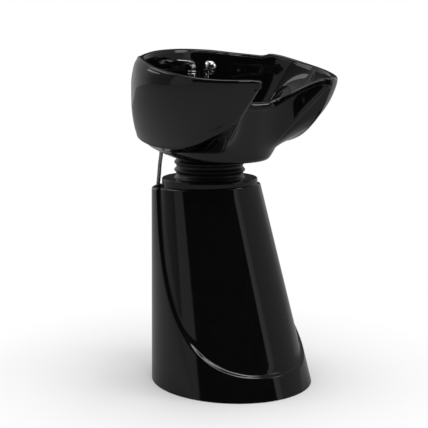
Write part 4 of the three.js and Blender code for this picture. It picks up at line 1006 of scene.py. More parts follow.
def shell_patches(sizes, turns=120, low_rows=28, bevel_rows=8, panel_rows=24, back_columns=90):
    """The shell's outer sides in patches that share their edges: apron, bevel, panel and back."""
    out_reach = LEDGE_REACH + sizes.ledge_bevel / sizes.top_half_width
    apron, bevel, panel, back = [], [], [], []
    for i in range(turns + 1):
        t = (i / turns - 0.5) * math.pi
        inner, outer = LEDGE_REACH * math.sin(t), out_reach * math.sin(t)
        inner_top, outer_top = side_top(sizes, inner, sizes.panel_inset), side_top(sizes, outer, 0)
        high = min(ledge_height(sizes, inner, LEDGE_REACH, sizes.ledge_foot), inner_top)
        low = min(ledge_height(sizes, outer, out_reach, sizes.ledge_foot - sizes.ledge_bevel), outer_top)
        apron.append([pedestal_point(sizes, outer, low * row / low_rows, 0) for row in range(low_rows + 1)])
        strip = []
        for row in range(bevel_rows + 1):
            share = row / bevel_rows
            depth = lerp(share, smoothstep(share, 0, 1), LEDGE_CURL)
            strip.append(pedestal_point(sizes, lerp(outer, inner, share), lerp(low, high, share),
                                        sizes.panel_inset * depth))
        bevel.append(strip)
        panel.append([pedestal_point(sizes, inner, lerp(high, inner_top, row / panel_rows), sizes.panel_inset)
                      for row in range(panel_rows + 1)])
    for i in range(back_columns + 1):
        angle = lerp(out_reach, 2 * math.pi - out_reach, i / back_columns)
        top = side_top(sizes, angle, 0)
        back.append([pedestal_point(sizes, angle, top * row / low_rows, 0) for row in range(low_rows + 1)])
    return apron, bevel, panel, back


def shell_top_rings(sizes, bevel, panel, back):
    """Rings from the sides' top edge round the shoulder and in to the opening under the cap."""
    loop = [column[-1] for column in panel]
    loop += reversed(bevel[-1][:-1])
    loop += [column[-1] for column in back[1:-1]]
    loop += bevel[0][:-1]
    rings = [loop]
    for turn in (15, 30, 45, 60, 75, 90):
        rise = SHELL_TOP_ROUND * math.sin(turn * DEGREE)
        inset = SHELL_TOP_ROUND * (1 - math.cos(turn * DEGREE))
        rings.append([shrink(p, inset, rise) for p in loop])
    edge = rings[-1]
    for share in (0.3, 0.6, 0.85, 1):
        level = []
        for x, y, z in edge:
            turn = math.atan2(y, x)
            place = (lerp(x, SHELL_OPENING_RADIUS * math.cos(turn), share),
                     lerp(y, SHELL_OPENING_RADIUS * math.sin(turn), share))
            level.append((*place, z - PEDESTAL_FALL * (place[1] - y) / sizes.top_half_depth))
        rings.append(level)
    return rings


class BASIN_OT_pedestal(bpy.types.Operator):
    """Makes the moulded shell with its recessed front panel, and the raised cap"""
    bl_idname = "basin.make_pedestal"
    bl_label = "Make pedestal"

    def execute(self, context):
        sizes = context.scene.basin_pedestal
        apron, bevel, panel, back = shell_patches(sizes)
        rings = shell_top_rings(sizes, bevel, panel, back)
        points, faces = [], []
        for patch in (apron, bevel, panel, back, rings):
            start = len(points)
            points += [p for column in patch for p in column]
            faces += [tuple(start + k for k in face)
                      for face in grid_faces(len(patch), len(patch[0]), close_columns=patch is rings)]
        shell = new_piece("shell_moulded", points, faces, 50)
        wall = shell.modifiers.new("Wall", "SOLIDIFY")
        wall.thickness = SHELL_WALL
        wall.offset = -1
        settle(shell)
        for vertex in shell.data.vertices:
            vertex.co.z = max(vertex.co.z, 0)
        carve(shell, self.pipe_notch())
        carve(shell, upright_cutter(GROMMET, GROMMET_HOLE_RADIUS, *GROMMET_HOLE_LEVELS))
        clean(shell, 40)
        dress(shell, "black_shell", "pedestal", "pedestal_shell")
        self.make_cap(sizes)
        return {"FINISHED"}

    def pipe_notch(self):
        half = NOTCH_HALF_WIDTH
        rise = NOTCH_HEIGHT - half
        outline = [(-half, -NOTCH_BELOW), (half, -NOTCH_BELOW)]
        outline += [(half * math.cos(t * 6 * DEGREE), rise + half * math.sin(t * 6 * DEGREE))
                    for t in range(31)]
        return loft_piece("cutter", [[(x, y, z) for x, z in outline] for y in (0.0, NOTCH_END_Y)])

    def make_cap(self, sizes):
        radius, top, wall, hole = sizes.cap_radius, sizes.cap_height, CAP_WALL, CAP_OPENING_RADIUS
        low = sizes.shell_height - 4 * wall
        outer = filleted([(radius, low), (radius, top), (hole, top)], CAP_EDGE_RADIUS, 8)
        inner = filleted([(hole, top - wall), (radius - wall, top - wall), (radius - wall, low)],
                         CAP_INNER_RADIUS, 3)
        cap = turned_piece("cap_moulded", [*outer, *inner], sides=192, smooth_angle=40)
        carve(cap, self.below_shell_top(sizes))
        for place in HOSE_HOLES[1:]:
            carve(cap, upright_cutter(place, HOSE_HOLE_RADIUS, *CAP_HOLE_LEVELS))
        for place in CAP_BOLTS:
            carve(cap, upright_cutter(place, CAP_BOLT_HOLE_RADIUS, *CAP_HOLE_LEVELS, 24))
        clean(cap, 40)
        dress(cap, "black_shell", "pedestal", "pedestal_cap")

    def below_shell_top(self, sizes, reach=0.4, depth=0.2):
        """A slab whose top lies on the shell's sloping one, to cut the cap to."""
        square = ((-reach, -reach), (reach, -reach), (reach, reach), (-reach, reach))
        tool = loft_piece("cutter", [[(x, y, z) for x, y in square] for z in (-depth, 0.0)])
        slope = math.atan2(PEDESTAL_FALL, sizes.top_half_depth)
        for vertex in tool.data.vertices:
            x, y, z = vertex.co
            vertex.co = (x, y, z + sizes.shell_height + FIT_GAP - (y - PEDESTAL_TOP_Y) * math.tan(slope))
        return tool


BELLOWS_WALL = 0.003
BELLOWS_STEPS = 72
BELLOWS_FOLD_POWER = 0.8
# Heights just inside the bellows' ends, by the cap and by the bowl; the bellows doesn't bend at them
BELLOWS_CUFF = 0.002


class BASIN_OT_bellows(bpy.types.Operator):
    """Makes the rubber bellows between the cap and the bowl"""
    bl_idname = "basin.make_bellows"
    bl_label = "Make bellows"

    def execute(self, context):
        sizes = context.scene.basin_bellows
        low = context.scene.basin_pedestal.cap_height + FIT_GAP
        high = context.scene.basin_bowl.foot_height - FIT_GAP
        outside, inside = [], []
        for i in range(BELLOWS_STEPS + 1):
            share = i / BELLOWS_STEPS
            wave = 0.5 - 0.5 * math.cos(2 * math.pi * sizes.folds * share)
            radius = sizes.radius - sizes.fold_depth * wave**BELLOWS_FOLD_POWER
            outside.append((radius, lerp(low, high, share)))
            inside.append((radius - BELLOWS_WALL, lerp(low, high, share)))
        bellows = turned_piece("bellows_rubber", outside + inside[::-1], sides=160, smooth_angle=50)
        bend = ("pedestal", "bowl", (0, 0, low + BELLOWS_CUFF), (0, 0, high - BELLOWS_CUFF))
        dress(bellows, "bellows_rubber", bend, "bellows")
        return {"FINISHED"}


# The hoses' routes as the solids have them, in millimetres
SHOWER_ROUTE = (
    (52, 84, 813), (52, 85, 800), (46, 98, 784), (12, 111, 776), (-60, 112, 774), (-110, 94, 770),
    (-120, 80, 746), (-120, 80, 710), (-121, 81, 672), (-124, 84, 640), (-126, 86, 606), (-128, 88, 577),
    (-128, 88, 540), (-126, 84, 440), (-118, 76, 340), (-98, 66, 240), (-60, 62, 204), (-26, 68, 260),
    (-8, 78, 400), (1, 84, 540), (2, 84, 600), (2, 84, 680), (2, 84, 745), (-2, 91, 800), (-5, 93.4, 830),
    (-5, 93.4, 860),
)
COLD_ROUTE = (
    (2.5, 79, 860), (2.5, 79, 834), (20, 72, 785), (27, 70, 745), (27, 70, 680), (27, 70, 600),
    (27, 72, 540), (29, 84, 300), (33, 104, 110), (36, 120, 44), (36, 136, 25), (36, 152, 24),
)
HOT_ROUTE = (
    (-12.5, 79, 860), (-12.5, 79, 834), (-24, 71, 785), (-27, 70, 745), (-27, 70, 680), (-27, 70, 600),
    (-27, 72, 540), (-29, 84, 300), (-33, 104, 110), (-36, 120, 44), (-36, 136, 25), (-36, 152, 24),
)
WASTE_ROUTE = (
    (0, 0, 664), (0, 0, 630), (0, 0, 560), (0, 4, 420), (0, 26, 230), (0, 84, 92), (0, 130, 44),
    (0, 158, 36), (0, 174, 36),
)


def route_points(route, count):
    return through_points([tuple(v * MM for v in p) for p in route], count)


def path_object(name, points):
    """A bare line of edges for a node tree to follow."""
    mesh = bpy.data.meshes.new(name)
    mesh.from_pydata([tuple(p) for p in points], [(i, i + 1) for i in range(len(points) - 1)], [])
    return add_object(name, mesh)


def start_tree(name, sizes):
    """A geometry tree with one float input for each named size."""
    tree = bpy.data.node_groups.new(name, "GeometryNodeTree")
    tree.interface.new_socket("Geometry", in_out="INPUT", socket_type="NodeSocketGeometry")
    for label in sizes:
        tree.interface.new_socket(label, in_out="INPUT", socket_type="NodeSocketFloat")
    tree.interface.new_socket("Geometry", in_out="OUTPUT", socket_type="NodeSocketGeometry")
    return tree, add_node(tree, "NodeGroupInput").outputs


def end_tree(tree, geometry, material):
    real = add_node(tree, "GeometryNodeRealizeInstances", links={0: geometry})
    coloured = add_node(tree, "GeometryNodeSetMaterial", {"Material": material}, {0: real.outputs[0]})
    add_node(tree, "NodeGroupOutput", links={0: coloured.outputs[0]})


def grow(piece, tree, sizes):
    """Runs a geometry tree on the piece with the given sizes, and keeps the plain mesh."""
    modifier = piece.modifiers.new(tree.name, "NODES")
    modifier.node_group = tree
    for item in tree.interface.items_tree:
        if item.in_out == "INPUT" and item.name in sizes:
            modifier[item.identifier] = float(sizes[item.name])
    settle(piece)
    piece.data.shade_smooth()
    return piece


def braid_tree(material):
    """Strands that wind both ways round a path, as a wire braid does."""
    tree, given = start_tree("Wire braid", ("Radius", "Wire", "Turns", "Strands"))
    path = add_node(tree, "GeometryNodeMeshToCurve", links={0: given["Geometry"]})
    share = add_node(tree, "GeometryNodeSplineParameter").outputs["Factor"]
    strands = add_node(tree, "GeometryNodeJoinGeometry")
    wire = add_node(tree, "GeometryNodeCurvePrimitiveCircle", {"Resolution": 5}, {"Radius": given["Wire"]})
    lay = add_node(tree, "ShaderNodeMath", {"operation": "SUBTRACT"}, {0: given["Radius"], 1: given["Wire"]})
    circle = add_node(tree, "GeometryNodeCurvePrimitiveCircle", {},
                      {"Resolution": given["Strands"], "Radius": lay.outputs[0]})
    spread = add_node(tree, "GeometryNodeInstanceOnPoints", {},
                      {"Points": circle.outputs[0], "Instance": wire.outputs[0]})
    profile = add_node(tree, "GeometryNodeRealizeInstances", links={0: spread.outputs[0]})
    for direction in (1, -1):
        turned = add_node(tree, "ShaderNodeMath", {"operation": "MULTIPLY", 1: direction * 2 * math.pi},
                          {0: given["Turns"]})
        tilt = add_node(tree, "ShaderNodeMath", {"operation": "MULTIPLY"}, {0: share, 1: turned.outputs[0]})
        wound = add_node(tree, "GeometryNodeSetCurveTilt", {},
                         {"Curve": path.outputs[0], "Tilt": tilt.outputs[0]})
        swept = add_node(tree, "GeometryNodeCurveToMesh", {"Fill Caps": True},
                         {"Curve": wound.outputs[0], "Profile Curve": profile.outputs[0]})
        tree.links.new(swept.outputs[0], strands.inputs[0])
    end_tree(tree, strands.outputs[0], material)
    return tree


def rib_tree(material):
    """Rings threaded on a path, as the ribs of a waste hose are."""
    tree, given = start_tree("Hose ribs", ("Radius", "Rib", "Spacing"))
    path = add_node(tree, "GeometryNodeMeshToCurve", links={0: given["Geometry"]})
    spaced = add_node(tree, "GeometryNodeResampleCurve", {"mode": "LENGTH"},
                      {"Curve": path.outputs[0], "Length": given["Spacing"]})
    tangent = add_node(tree, "GeometryNodeInputTangent").outputs[0]
    facing = add_node(tree, "FunctionNodeAlignRotationToVector", {"axis": "Z"}, {"Vector": tangent})
    lay = add_node(tree, "ShaderNodeMath", {"operation": "SUBTRACT"}, {0: given["Radius"], 1: given["Rib"]})
    circle = add_node(tree, "GeometryNodeCurvePrimitiveCircle", {"Resolution": 40},
                      {"Radius": lay.outputs[0]})
    bead = add_node(tree, "GeometryNodeCurvePrimitiveCircle", {"Resolution": 8}, {"Radius": given["Rib"]})
    rib = add_node(tree, "GeometryNodeCurveToMesh", {},
                   {"Curve": circle.outputs[0], "Profile Curve": bead.outputs[0]})
    ribs = add_node(tree, "GeometryNodeInstanceOnPoints", {},
                    {"Points": spaced.outputs[0], "Instance": rib.outputs[0], "Rotation": facing.outputs[0]})
    end_tree(tree, ribs.outputs[0], material)
    return tree


def nozzle_tree(material):
    """A soft nozzle on each point; loose points face away from the origin, so the nozzles fan out."""
    tree, given = start_tree("Spray nozzles", ("Radius", "Length"))
    normal = add_node(tree, "GeometryNodeInputNormal").outputs[0]
    facing = add_node(tree, "FunctionNodeAlignRotationToVector", {"axis": "Z"}, {"Vector": normal})
    tip = add_node(tree, "ShaderNodeMath", {"operation": "MULTIPLY", 1: 0.6}, {0: given["Radius"]})
    cone = add_node(tree, "GeometryNodeMeshCone", {"Vertices": 12},
                    {"Radius Top": tip.outputs[0], "Radius Bottom": given["Radius"],
                     "Depth": given["Length"]})
    nozzles = add_node(tree, "GeometryNodeInstanceOnPoints", {},
                       {"Points": given["Geometry"], "Instance": cone.outputs["Mesh"],
                        "Rotation": facing.outputs[0]})
    end_tree(tree, nozzles.outputs[0], material)
    return tree


def path_length(points):
    return sum((b - a).length for a, b in zip(points, points[1:]))


def join_pieces(first, *others):
    """Puts the others' meshes into the first piece."""
    form = bmesh.new()
    for piece in (first, *others):
        form.from_mesh(piece.data)
    form.to_mesh(first.data)
    form.free()
    for piece in others:
        bpy.data.objects.remove(piece)
    first.data.shade_smooth()
    return first


# A braid's wire as a share of the hose's radius, and how many wires deep its core lies
WIRE_SHARE = 0.13
CORE_DEPTH_WIRES = 1.6
STEPS_PER_TURN = 12
CORE_STEP = 0.006


def braided_hose(name, points, radius, strands):
    """A rubber core inside its wire braid."""
    length = path_length(points)
    wire = WIRE_SHARE * radius
    turns = length / (2 * math.pi * radius)
    fine = through_points(points, max(int(turns * STEPS_PER_TURN), 24))
    braid = grow(path_object(name, fine), braid_tree(material_for("steel_braid")),
                 {"Radius": radius, "Wire": wire, "Turns": turns, "Strands": strands})
    inside = radius - CORE_DEPTH_WIRES * wire
    core = swept_piece(name + "_core", through_points(points, max(int(length / CORE_STEP), 12)),
                       lambda share: (inside, inside), 16)
    return join_pieces(braid, core)


# Two bodies and two heights for the lower hoses and for the shower hose's upper part; the hoses don't bend
# with them, and the shower hose is parted at the split height
TILTING = ("pedestal", "bowl", (0, 0, 0.604), (0, 0, 0.666))
HOSE_SPLIT_HEIGHT = 0.79
PULLED = ("bowl", "hand_shower", (0, 0, HOSE_SPLIT_HEIGHT), (0, 0, 0.812))
WASTE_RIB = 0.0018
WASTE_RIB_SPACING = 0.005
WASTE_GROOVE = 0.0022


class BASIN_OT_hoses(bpy.types.Operator):
    """Makes the shower hose, the two supply hoses and the waste hose"""
    bl_idname = "basin.make_hoses"
    bl_label = "Make hoses"

    def execute(self, context):
        sizes = context.scene.basin_hoses
        points = route_points(SHOWER_ROUTE, 400)
        split = next(i for i, p in enumerate(points) if p.z < HOSE_SPLIT_HEIGHT)
        for name, part, bend in (("upper", points[:split + 1], PULLED), ("lower", points[split:], TILTING)):
            hose = braided_hose("shower_hose_" + name, part, sizes.shower_radius, 14)
            dress(hose, "steel_braid", bend, "shower_hose")
        for name, route in (("hot", HOT_ROUTE), ("cold", COLD_ROUTE)):
            hose = braided_hose("supply_hose_" + name + "_braided", route_points(route, 260),
                                sizes.supply_radius, 10)
            dress(hose, "steel_braid", TILTING, "supply_hose_" + name)
        waste = route_points(WASTE_ROUTE, 160)
        ribs = grow(path_object("waste_hose_ribbed", waste), rib_tree(material_for("waste_plastic")),
                    {"Radius": sizes.waste_radius, "Rib": WASTE_RIB, "Spacing": WASTE_RIB_SPACING})
        inside = sizes.waste_radius - WASTE_GROOVE
        core = swept_piece("waste_core", waste, lambda share: (inside, inside))
        dress(join_pieces(ribs, core), "waste_plastic", TILTING, "waste_hose")
        return {"FINISHED"}


# Profiles of the chrome fittings are radius and height in metres
MIXER_HEIGHT = 0.050
LEVER_HUB_RADIUS = 0.009
LEVER_HUB_HALF = 0.013
LEVER_REACH = 0.053
LEVER_RISE = 0.016
# The lever's line, as shares of its reach and its rise
LEVER_LINE = ((0.06, 0), (0.14, 0.65), (0.02, 1), (-0.45, 1.25), (-1, 1.35))
LEVER_HALF_WIDTH = 0.0055
LEVER_HALF_DEPTH = 0.0026
LEVER_TIP_SHARE = 0.06


class BASIN_OT_mixer(bpy.types.Operator):
    """Makes the single-lever mixer: body, turning collar and lever"""
    bl_idname = "basin.make_mixer"
    bl_label = "Make mixer"

    def execute(self, context):
        deck = levels("mixer_body")[1] - MIXER_HEIGHT
        profile = filleted([(0.0, deck - 0.012), (0.018, deck - 0.012), (0.018, deck), (0.022, deck),
                            (0.022, deck + 0.004), (0.0165, deck + 0.008), (0.016, deck + 0.048),
                            (0.014, deck + MIXER_HEIGHT), (0.0, deck + MIXER_HEIGHT)], 0.0015)
        dress(turned_piece("mixer_chrome", profile, MIXER), "chrome_plate", "bowl", "mixer_body")
        low, high = levels("cartridge_collar")
        profile = filleted([(0.0, low), (0.0145, low), (0.015, low + 0.001), (0.015, high - 0.002),
                            (0.013, high), (0.0, high)], 0.0008)
        collar = turned_piece("collar_chrome", profile, MIXER)
        dress(collar, "chrome_plate", "mixer_collar", "cartridge_collar")
        self.make_lever()
        return {"FINISHED"}

    def make_lever(self):
        radius, half = LEVER_HUB_RADIUS, LEVER_HUB_HALF
        pivot = Vector((*MIXER, levels("lever_handle")[0] + radius))
        profile = filleted([(0.0, -half), (radius, -half), (radius, half), (0.0, half)], 0.002)
        hub = turned_piece("lever_chrome", profile)
        hub.data.transform(Matrix.Translation(pivot) @ Matrix.Rotation(90 * DEGREE, 4, "X"))
        path = through_points([pivot + Vector((LEVER_REACH * out, 0, LEVER_RISE * up))
                               for out, up in LEVER_LINE], 80)

        def half_widths(share):
            rounding = round_end(share, LEVER_TIP_SHARE)
            return (LEVER_HALF_WIDTH * rounding, LEVER_HALF_DEPTH * rounding)

        bar = swept_piece("lever_bar", path, half_widths, fixed_side=(0, 1, 0))
        dress(join_pieces(hub, bar), "chrome_plate", "mixer_lever", "lever_handle")


SPRAY_HOLDER_RISE = 0.022
SPRAY_HANDLE_LENGTH = 0.084
SPRAY_HANDLE_RADIUS = 0.0096
SPRAY_HEAD_OFFSET = (0.002, -0.014, 0.010)
SPRAY_HEAD_TILT = 75 * DEGREE
SPRAY_HEAD_TURN = 7 * DEGREE
SPRAY_NECK_DEPTH = 0.012
SPRAY_BACK_RADIUS = 0.023
SPRAY_BACK_DEPTH = 0.018
# Rings of nozzles: radius and number
NOZZLE_RINGS = ((0.0045, 6), (0.009, 12), (0.0135, 18))
NOZZLE_RADIUS = 0.0009
NOZZLE_LENGTH = 0.0018


class BASIN_OT_spray(bpy.types.Operator):
    """Makes the hand shower, its holder and its face of nozzles"""
    bl_idname = "basin.make_spray"
    bl_label = "Make hand shower"

    def execute(self, context):
        low, high = levels("spray_holder")
        deck = high - SPRAY_HOLDER_RISE
        profile = filleted([(0.014, low), (0.014, deck), (0.019, deck), (0.019, deck + 0.003),
                            (0.016, deck + 0.006), (0.014, high - 0.001), (0.0135, high), (0.0118, high),
                            (0.0112, high - 0.001), (0.0112, low)], 0.0012)
        dress(turned_piece("holder_chrome", profile, SPRAY), "chrome_plate", "bowl", "spray_holder")
        low, high = levels("hose_ferrule")
        profile = filleted([(0.0, low), (0.0065, low), (0.0068, low + 0.003), (0.008, low + 0.004),
                            (0.008, high), (0.0, high)], 0.0008)
        ferrule = turned_piece("ferrule_chrome", profile, SPRAY, 64)
        dress(ferrule, "chrome_plate", "hand_shower", "hose_ferrule")
        self.make_head()
        return {"FINISHED"}

    def make_head(self):
        low = levels("spray_body")[0]
        x, y = SPRAY
        top = low + SPRAY_HANDLE_LENGTH
        out, back, up = SPRAY_HEAD_OFFSET
        centre = Vector((x + out, y + back, top + up))
        tilt, turn = SPRAY_HEAD_TILT, SPRAY_HEAD_TURN
        axis = Vector((math.sin(tilt) * math.cos(turn), math.sin(tilt) * math.sin(turn), math.cos(tilt)))
        neck = centre - axis * SPRAY_NECK_DEPTH
        path = through_points([(x, y, low), (x, y, low + 0.03), (x, y, low + 0.06), (x, y, top - 0.008),
                               neck.lerp(Vector((x, y, top)), 0.3), neck], 60)

        def half_widths(share):
            return [SPRAY_HANDLE_RADIUS * round_end(share, 0.02)] * 2

        handle = swept_piece("spray_handle", path, half_widths, 48)
        profile = [(SPRAY_BACK_RADIUS * math.sin(a * 9 * DEGREE),
                    -SPRAY_BACK_DEPTH * math.cos(a * 9 * DEGREE)) for a in range(10)]
        profile += [(0.0232, 0.002), (0.023, 0.006), (0.0218, 0.0078), (0.0195, 0.0078), (0.0, 0.0078)]
        head = turned_piece("spray_head", profile)
        self.place(head, axis, centre)
        dress(join_pieces(handle, head), "chrome_plate", "hand_shower", "spray_body")
        handle.name = "spray_chrome"
        profile = filleted([(0.0, 0.0081), (0.018, 0.0081), (0.018, 0.0100), (0.016, 0.0111), (0.0, 0.0111)],
                           0.0006)
        face = turned_piece("spray_face_plate", profile)
        self.place(face, axis, centre)
        dress(face, "spray_plastic", "hand_shower", "spray_face")
        places = [(0.0, 0.0, 0.0115)]
        for radius, count in NOZZLE_RINGS:
            places += ring((0, 0), radius, 0.0107, count)
        mesh = bpy.data.meshes.new("nozzles")
        mesh.from_pydata(places, [], [])
        nozzles = grow(add_object("spray_nozzles", mesh), nozzle_tree(make_nozzle_rubber()),
                       {"Radius": NOZZLE_RADIUS, "Length": NOZZLE_LENGTH})
        self.place(nozzles, axis, centre)
        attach(nozzles, "hand_shower")

    def place(self, piece, axis, centre):
        turn = Vector((0, 0, 1)).rotation_difference(axis).to_matrix().to_4x4()
        piece.data.transform(turn)
        piece.data.transform(Matrix.Translation(centre))


# Rings of holes in the hair strainer: radius and number
STRAINER_RINGS = ((0.009, 8), (0.0145, 12), (0.0198, 16))
STRAINER_HOLE_RADIUS = 0.0014
GROMMET_LIP = 0.0024


class BASIN_OT_drain(bpy.types.Operator):
    """Makes the chrome drain flange, the hair strainer and the hose's grommet"""
    bl_idname = "basin.make_drain"
    bl_label = "Make drain"

    def execute(self, context):
        low, high = levels("drain_flange")
        profile = filleted([(0.018, low), (0.021, low), (0.021, high - 0.003), (0.035, high - 0.003),
                            (0.035, high - 0.001), (0.032, high), (0.021, high - 0.0015),
                            (0.018, high - 0.003)], 0.0008)
        dress(turned_piece("drain_chrome", profile, sides=128), "chrome_plate", "bowl", "drain_flange")
        low, high = levels("hair_strainer")
        profile = filleted([(0.0, low), (0.024, low), (0.024, low + 0.0012), (0.0225, low + 0.002),
                            (0.0045, low + 0.002), (0.004, low + 0.003), (0.004, high - 0.0015),
                            (0.003, high), (0.0, high)], 0.0006)
        strainer = turned_piece("strainer_chrome", profile, sides=128)
        for radius, count in STRAINER_RINGS:
            for hole in ring((0, 0), radius, low, count):
                carve(strainer, upright_cutter(hole, STRAINER_HOLE_RADIUS, low - 0.001, low + 0.003, 12))
        clean(strainer, 40)
        dress(strainer, "chrome_plate", "strainer", "hair_strainer")
        low, high = levels("hose_grommet")
        seat = high - GROMMET_LIP
        profile = filleted([(0.0063, low), (0.0095, low), (0.0095, seat), (0.0107, seat),
                            (0.0107, seat + 0.0012), (0.0095, high), (0.0063, high)], 0.0006)
        grommet = turned_piece("grommet_rubber", profile, GROMMET, 64)
        dress(grommet, "bellows_rubber", "pedestal", "hose_grommet")
        return {"FINISHED"}


class BASIN_OT_frame(bpy.types.Operator):
    """Gives every solid that stays its own finish"""
    bl_idname = "basin.finish_frame"
    bl_label = "Finish frame"

    def execute(self, context):
        slots = {part["node"]: part["material_slot"] for part in frame["record"]["subparts"]}
        for name, node in frame["nodes"].items():
            node.data.materials.clear()
            node.data.materials.append(material_for(slots[name]))
        return {"FINISHED"}


# Camera, found from the outlines: the view's azimuth and elevation, and where its middle falls
CAMERA_AZIMUTH = -37.5
CAMERA_ELEVATION = 10.24
CAMERA_DISTANCE = 3.2813
CAMERA_TARGET = (0, -0.0118, 0.45)
CAMERA_LENS = 91.08
CAMERA_SHIFT = (0.0045, 0.0289)

# The studio's walls round the object: azimuth in degrees, and how pale a mirror finds them
STUDIO_WALLS = ((-180, 0.6), (-152, 0.45), (-138, 0.22), (-112, 0.14), (-109, 0.36), (-90, 0.36),
                (-88, 0.01), (24, 0.01), (25, 0.6), (33, 0.5), (36, 0.28), (95, 0.25), (120, 0.5),
                (129, 0.04), (155, 0.04), (163, 0.6), (180, 0.6))
EVEN_LIGHT = 0.85

# Soft lamps: name, azimuth and elevation in degrees, width and height in metres, power in watts
LAMPS = (
    ("right_softbox", 48, 38, 0.7, 0.7, 6),
    ("left_softbox", -135, 42, 1.4, 1.0, 8),
    ("top_softbox", 142, 80, 1.5, 1.0, 12),
    ("front_softbox", 34, 66, 1.5, 0.35, 9),
    ("ledge_softbox", -22, 60, 0.6, 0.5, 5),
)
LAMP_DISTANCE = 3.0
LAMP_TARGET = (0, 0, 0.6)

FLOOR_REACH = 9.0
# Beyond this distance from the object the floor fades to white for the camera, from near to far
FLOOR_FADE = (0.3, 0.85)


def aim(thing, target, azimuth, elevation, distance):
    """Puts a camera or lamp at a distance from its target, turned towards it; angles in degrees."""
    a, e = azimuth * DEGREE, elevation * DEGREE
    away = Vector((math.sin(a) * math.cos(e), -math.cos(a) * math.cos(e), math.sin(e)))
    thing.location = Vector(target) + away * distance
    thing.rotation_mode = "QUATERNION"
    thing.rotation_quaternion = (-away).to_track_quat("-Z", "Y")


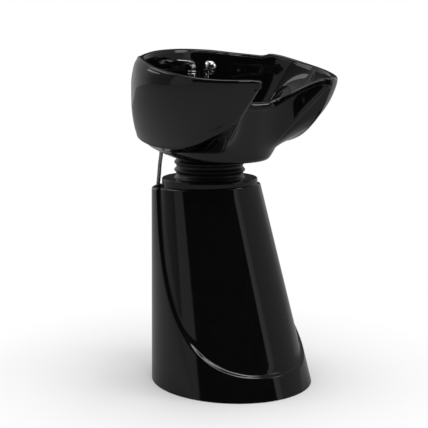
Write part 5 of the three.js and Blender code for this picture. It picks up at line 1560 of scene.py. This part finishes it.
class BASIN_OT_stage(bpy.types.Operator):
    """Makes the camera, the pale floor, the world and the soft lamps"""
    bl_idname = "basin.make_stage"
    bl_label = "Make stage"

    def execute(self, context):
        scene = context.scene
        data = bpy.data.cameras.new("photo_camera")
        data.lens = CAMERA_LENS
        data.shift_x, data.shift_y = CAMERA_SHIFT
        scene.camera = add_object("photo_camera", data)
        aim(scene.camera, CAMERA_TARGET, CAMERA_AZIMUTH, CAMERA_ELEVATION, CAMERA_DISTANCE)
        scene.view_settings.view_transform = "Standard"
        self.make_floor(scene.basin_finish.floor_colour)
        self.make_world(scene)
        self.make_lamps()
        return {"FINISHED"}

    def make_floor(self, colour):
        """A pale floor that keeps the object's shadow and, for the camera alone, fades to white; every other
        ray finds it grey, a painted shade that darkens it in reflections and in the light it bounces.
        """
        far = FLOOR_REACH
        corners = [(-far, -far, 0), (far, -far, 0), (far, far, 0), (-far, far, 0)]
        floor = new_piece("studio_floor", corners, [(0, 1, 2, 3)])
        material, tree, place = start_material("studio floor with grey painted shade for mirrors")
        path = add_node(tree, "ShaderNodeLightPath").outputs
        # Painted shade: the floor is grey (#a0a0a0) for every ray but the camera's, so mirrors show it darker
        # than the camera sees it
        tint = add_node(tree, "ShaderNodeMix",
                        {"data_type": "RGBA", 6: linear("#a0a0a0"), 7: linear(colour)},
                        {0: path["Is Camera Ray"]})
        shader = end_material(tree, {"Roughness": 0.8}, {"Base Color": tint.outputs[2]})
        reach = add_node(tree, "ShaderNodeVectorMath", {"operation": "LENGTH"}, {0: place})
        fade = add_node(tree, "ShaderNodeMapRange", {"From Min": FLOOR_FADE[0], "From Max": FLOOR_FADE[1]},
                        {"Value": reach.outputs["Value"]})
        seen = add_node(tree, "ShaderNodeMath", {"operation": "MULTIPLY"},
                        {0: fade.outputs[0], 1: path["Is Camera Ray"]})
        white = add_node(tree, "ShaderNodeEmission", {"Color": linear("#ffffff"), "Strength": 1.0})
        both = add_node(tree, "ShaderNodeMixShader", {},
                        {0: seen.outputs[0], 1: shader.outputs[0], 2: white.outputs[0]})
        tree.links.new(both.outputs[0], tree.nodes["Material Output"].inputs["Surface"])
        floor.data.materials.append(material)

    def make_world(self, scene):
        """White for the camera, even light for matt surfaces, and a studio's walls for mirrors."""
        scene.world = bpy.data.worlds.new("studio")
        scene.world.use_nodes = True
        tree = scene.world.node_tree
        tree.nodes.clear()
        path = add_node(tree, "ShaderNodeLightPath").outputs
        generated = add_node(tree, "ShaderNodeTexCoord").outputs["Generated"]
        way = add_node(tree, "ShaderNodeSeparateXYZ", {}, {0: generated}).outputs
        front = add_node(tree, "ShaderNodeMath", {"operation": "MULTIPLY", 1: -1.0}, {0: way["Y"]})
        turn = add_node(tree, "ShaderNodeMath", {"operation": "ARCTAN2"}, {0: way["X"], 1: front.outputs[0]})
        share = add_node(tree, "ShaderNodeMapRange", {"From Min": -math.pi, "From Max": math.pi},
                         {"Value": turn.outputs[0]})
        walls = add_node(tree, "ShaderNodeValToRGB", {}, {0: share.outputs[0]})
        ramp = walls.color_ramp
        ramp.elements[0].position, ramp.elements[1].position = 0, 1
        for azimuth, level in STUDIO_WALLS[1:-1]:
            ramp.elements.new(azimuth / 360 + 0.5).color = (level, level, level, 1)
        for end in (0, -1):
            level = STUDIO_WALLS[end][1]
            ramp.elements[end].color = (level, level, level, 1)
        even = add_node(tree, "ShaderNodeBackground", {"Color": linear("#ffffff"), "Strength": EVEN_LIGHT})
        wall = add_node(tree, "ShaderNodeBackground", {"Strength": 1.0}, {"Color": walls.outputs[0]})
        white = add_node(tree, "ShaderNodeBackground", {"Color": linear("#ffffff"), "Strength": 1.0})
        mirror = add_node(tree, "ShaderNodeMath", {"operation": "MAXIMUM"},
                          {0: path["Is Glossy Ray"], 1: path["Is Transmission Ray"]})
        room = add_node(tree, "ShaderNodeMixShader", {},
                        {0: mirror.outputs[0], 1: even.outputs[0], 2: wall.outputs[0]})
        seen = add_node(tree, "ShaderNodeMixShader", {},
                        {0: path["Is Camera Ray"], 1: room.outputs[0], 2: white.outputs[0]})
        add_node(tree, "ShaderNodeOutputWorld", links={"Surface": seen.outputs[0]})

    def make_lamps(self):
        for name, azimuth, elevation, width, height, power in LAMPS:
            data = bpy.data.lights.new(name, "AREA")
            data.shape = "RECTANGLE"
            data.size, data.size_y = width, height
            data.energy = power
            aim(add_object(name, data), LAMP_TARGET, azimuth, elevation, LAMP_DISTANCE)


class BASIN_PT_panel(bpy.types.Panel):
    """Lists the sizes and the steps of the basin"""
    bl_idname = "BASIN_PT_panel"
    bl_label = "Shampoo basin"
    bl_space_type = "VIEW_3D"
    bl_region_type = "UI"
    bl_category = "Basin"

    def draw(self, context):
        for group in ("basin_bowl", "basin_pedestal", "basin_bellows", "basin_hoses", "basin_finish"):
            box = self.layout.box()
            settings = getattr(context.scene, group)
            for key in settings.__annotations__:
                box.prop(settings, key)
        for operator in OPERATORS:
            self.layout.operator(operator.bl_idname)


OPERATORS = (BASIN_OT_stage, BASIN_OT_hoses, BASIN_OT_frame, BASIN_OT_bowl, BASIN_OT_pedestal,
             BASIN_OT_bellows, BASIN_OT_mixer, BASIN_OT_spray, BASIN_OT_drain)
GROUPS = {"basin_bowl": BowlSizes, "basin_pedestal": PedestalSizes, "basin_bellows": BellowsSizes,
          "basin_hoses": HoseSizes, "basin_finish": BasinFinish}


def register():
    for group in (*GROUPS.values(), *OPERATORS, BASIN_PT_panel):
        bpy.utils.register_class(group)
    for name, group in GROUPS.items():
        setattr(bpy.types.Scene, name, bpy.props.PointerProperty(type=group))


def unregister():
    for name in GROUPS:
        delattr(bpy.types.Scene, name)
    for group in reversed((*GROUPS.values(), *OPERATORS, BASIN_PT_panel)):
        bpy.utils.unregister_class(group)


def main():
    register()
    bpy.ops.basin.make_stage()
    bpy.ops.basin.make_hoses()
    bpy.ops.basin.finish_frame()
    bpy.ops.basin.make_bowl()
    bpy.ops.basin.make_pedestal()
    bpy.ops.basin.make_bellows()
    bpy.ops.basin.make_mixer()
    bpy.ops.basin.make_spray()
    bpy.ops.basin.make_drain()


if __name__ == "__main__":
    main()
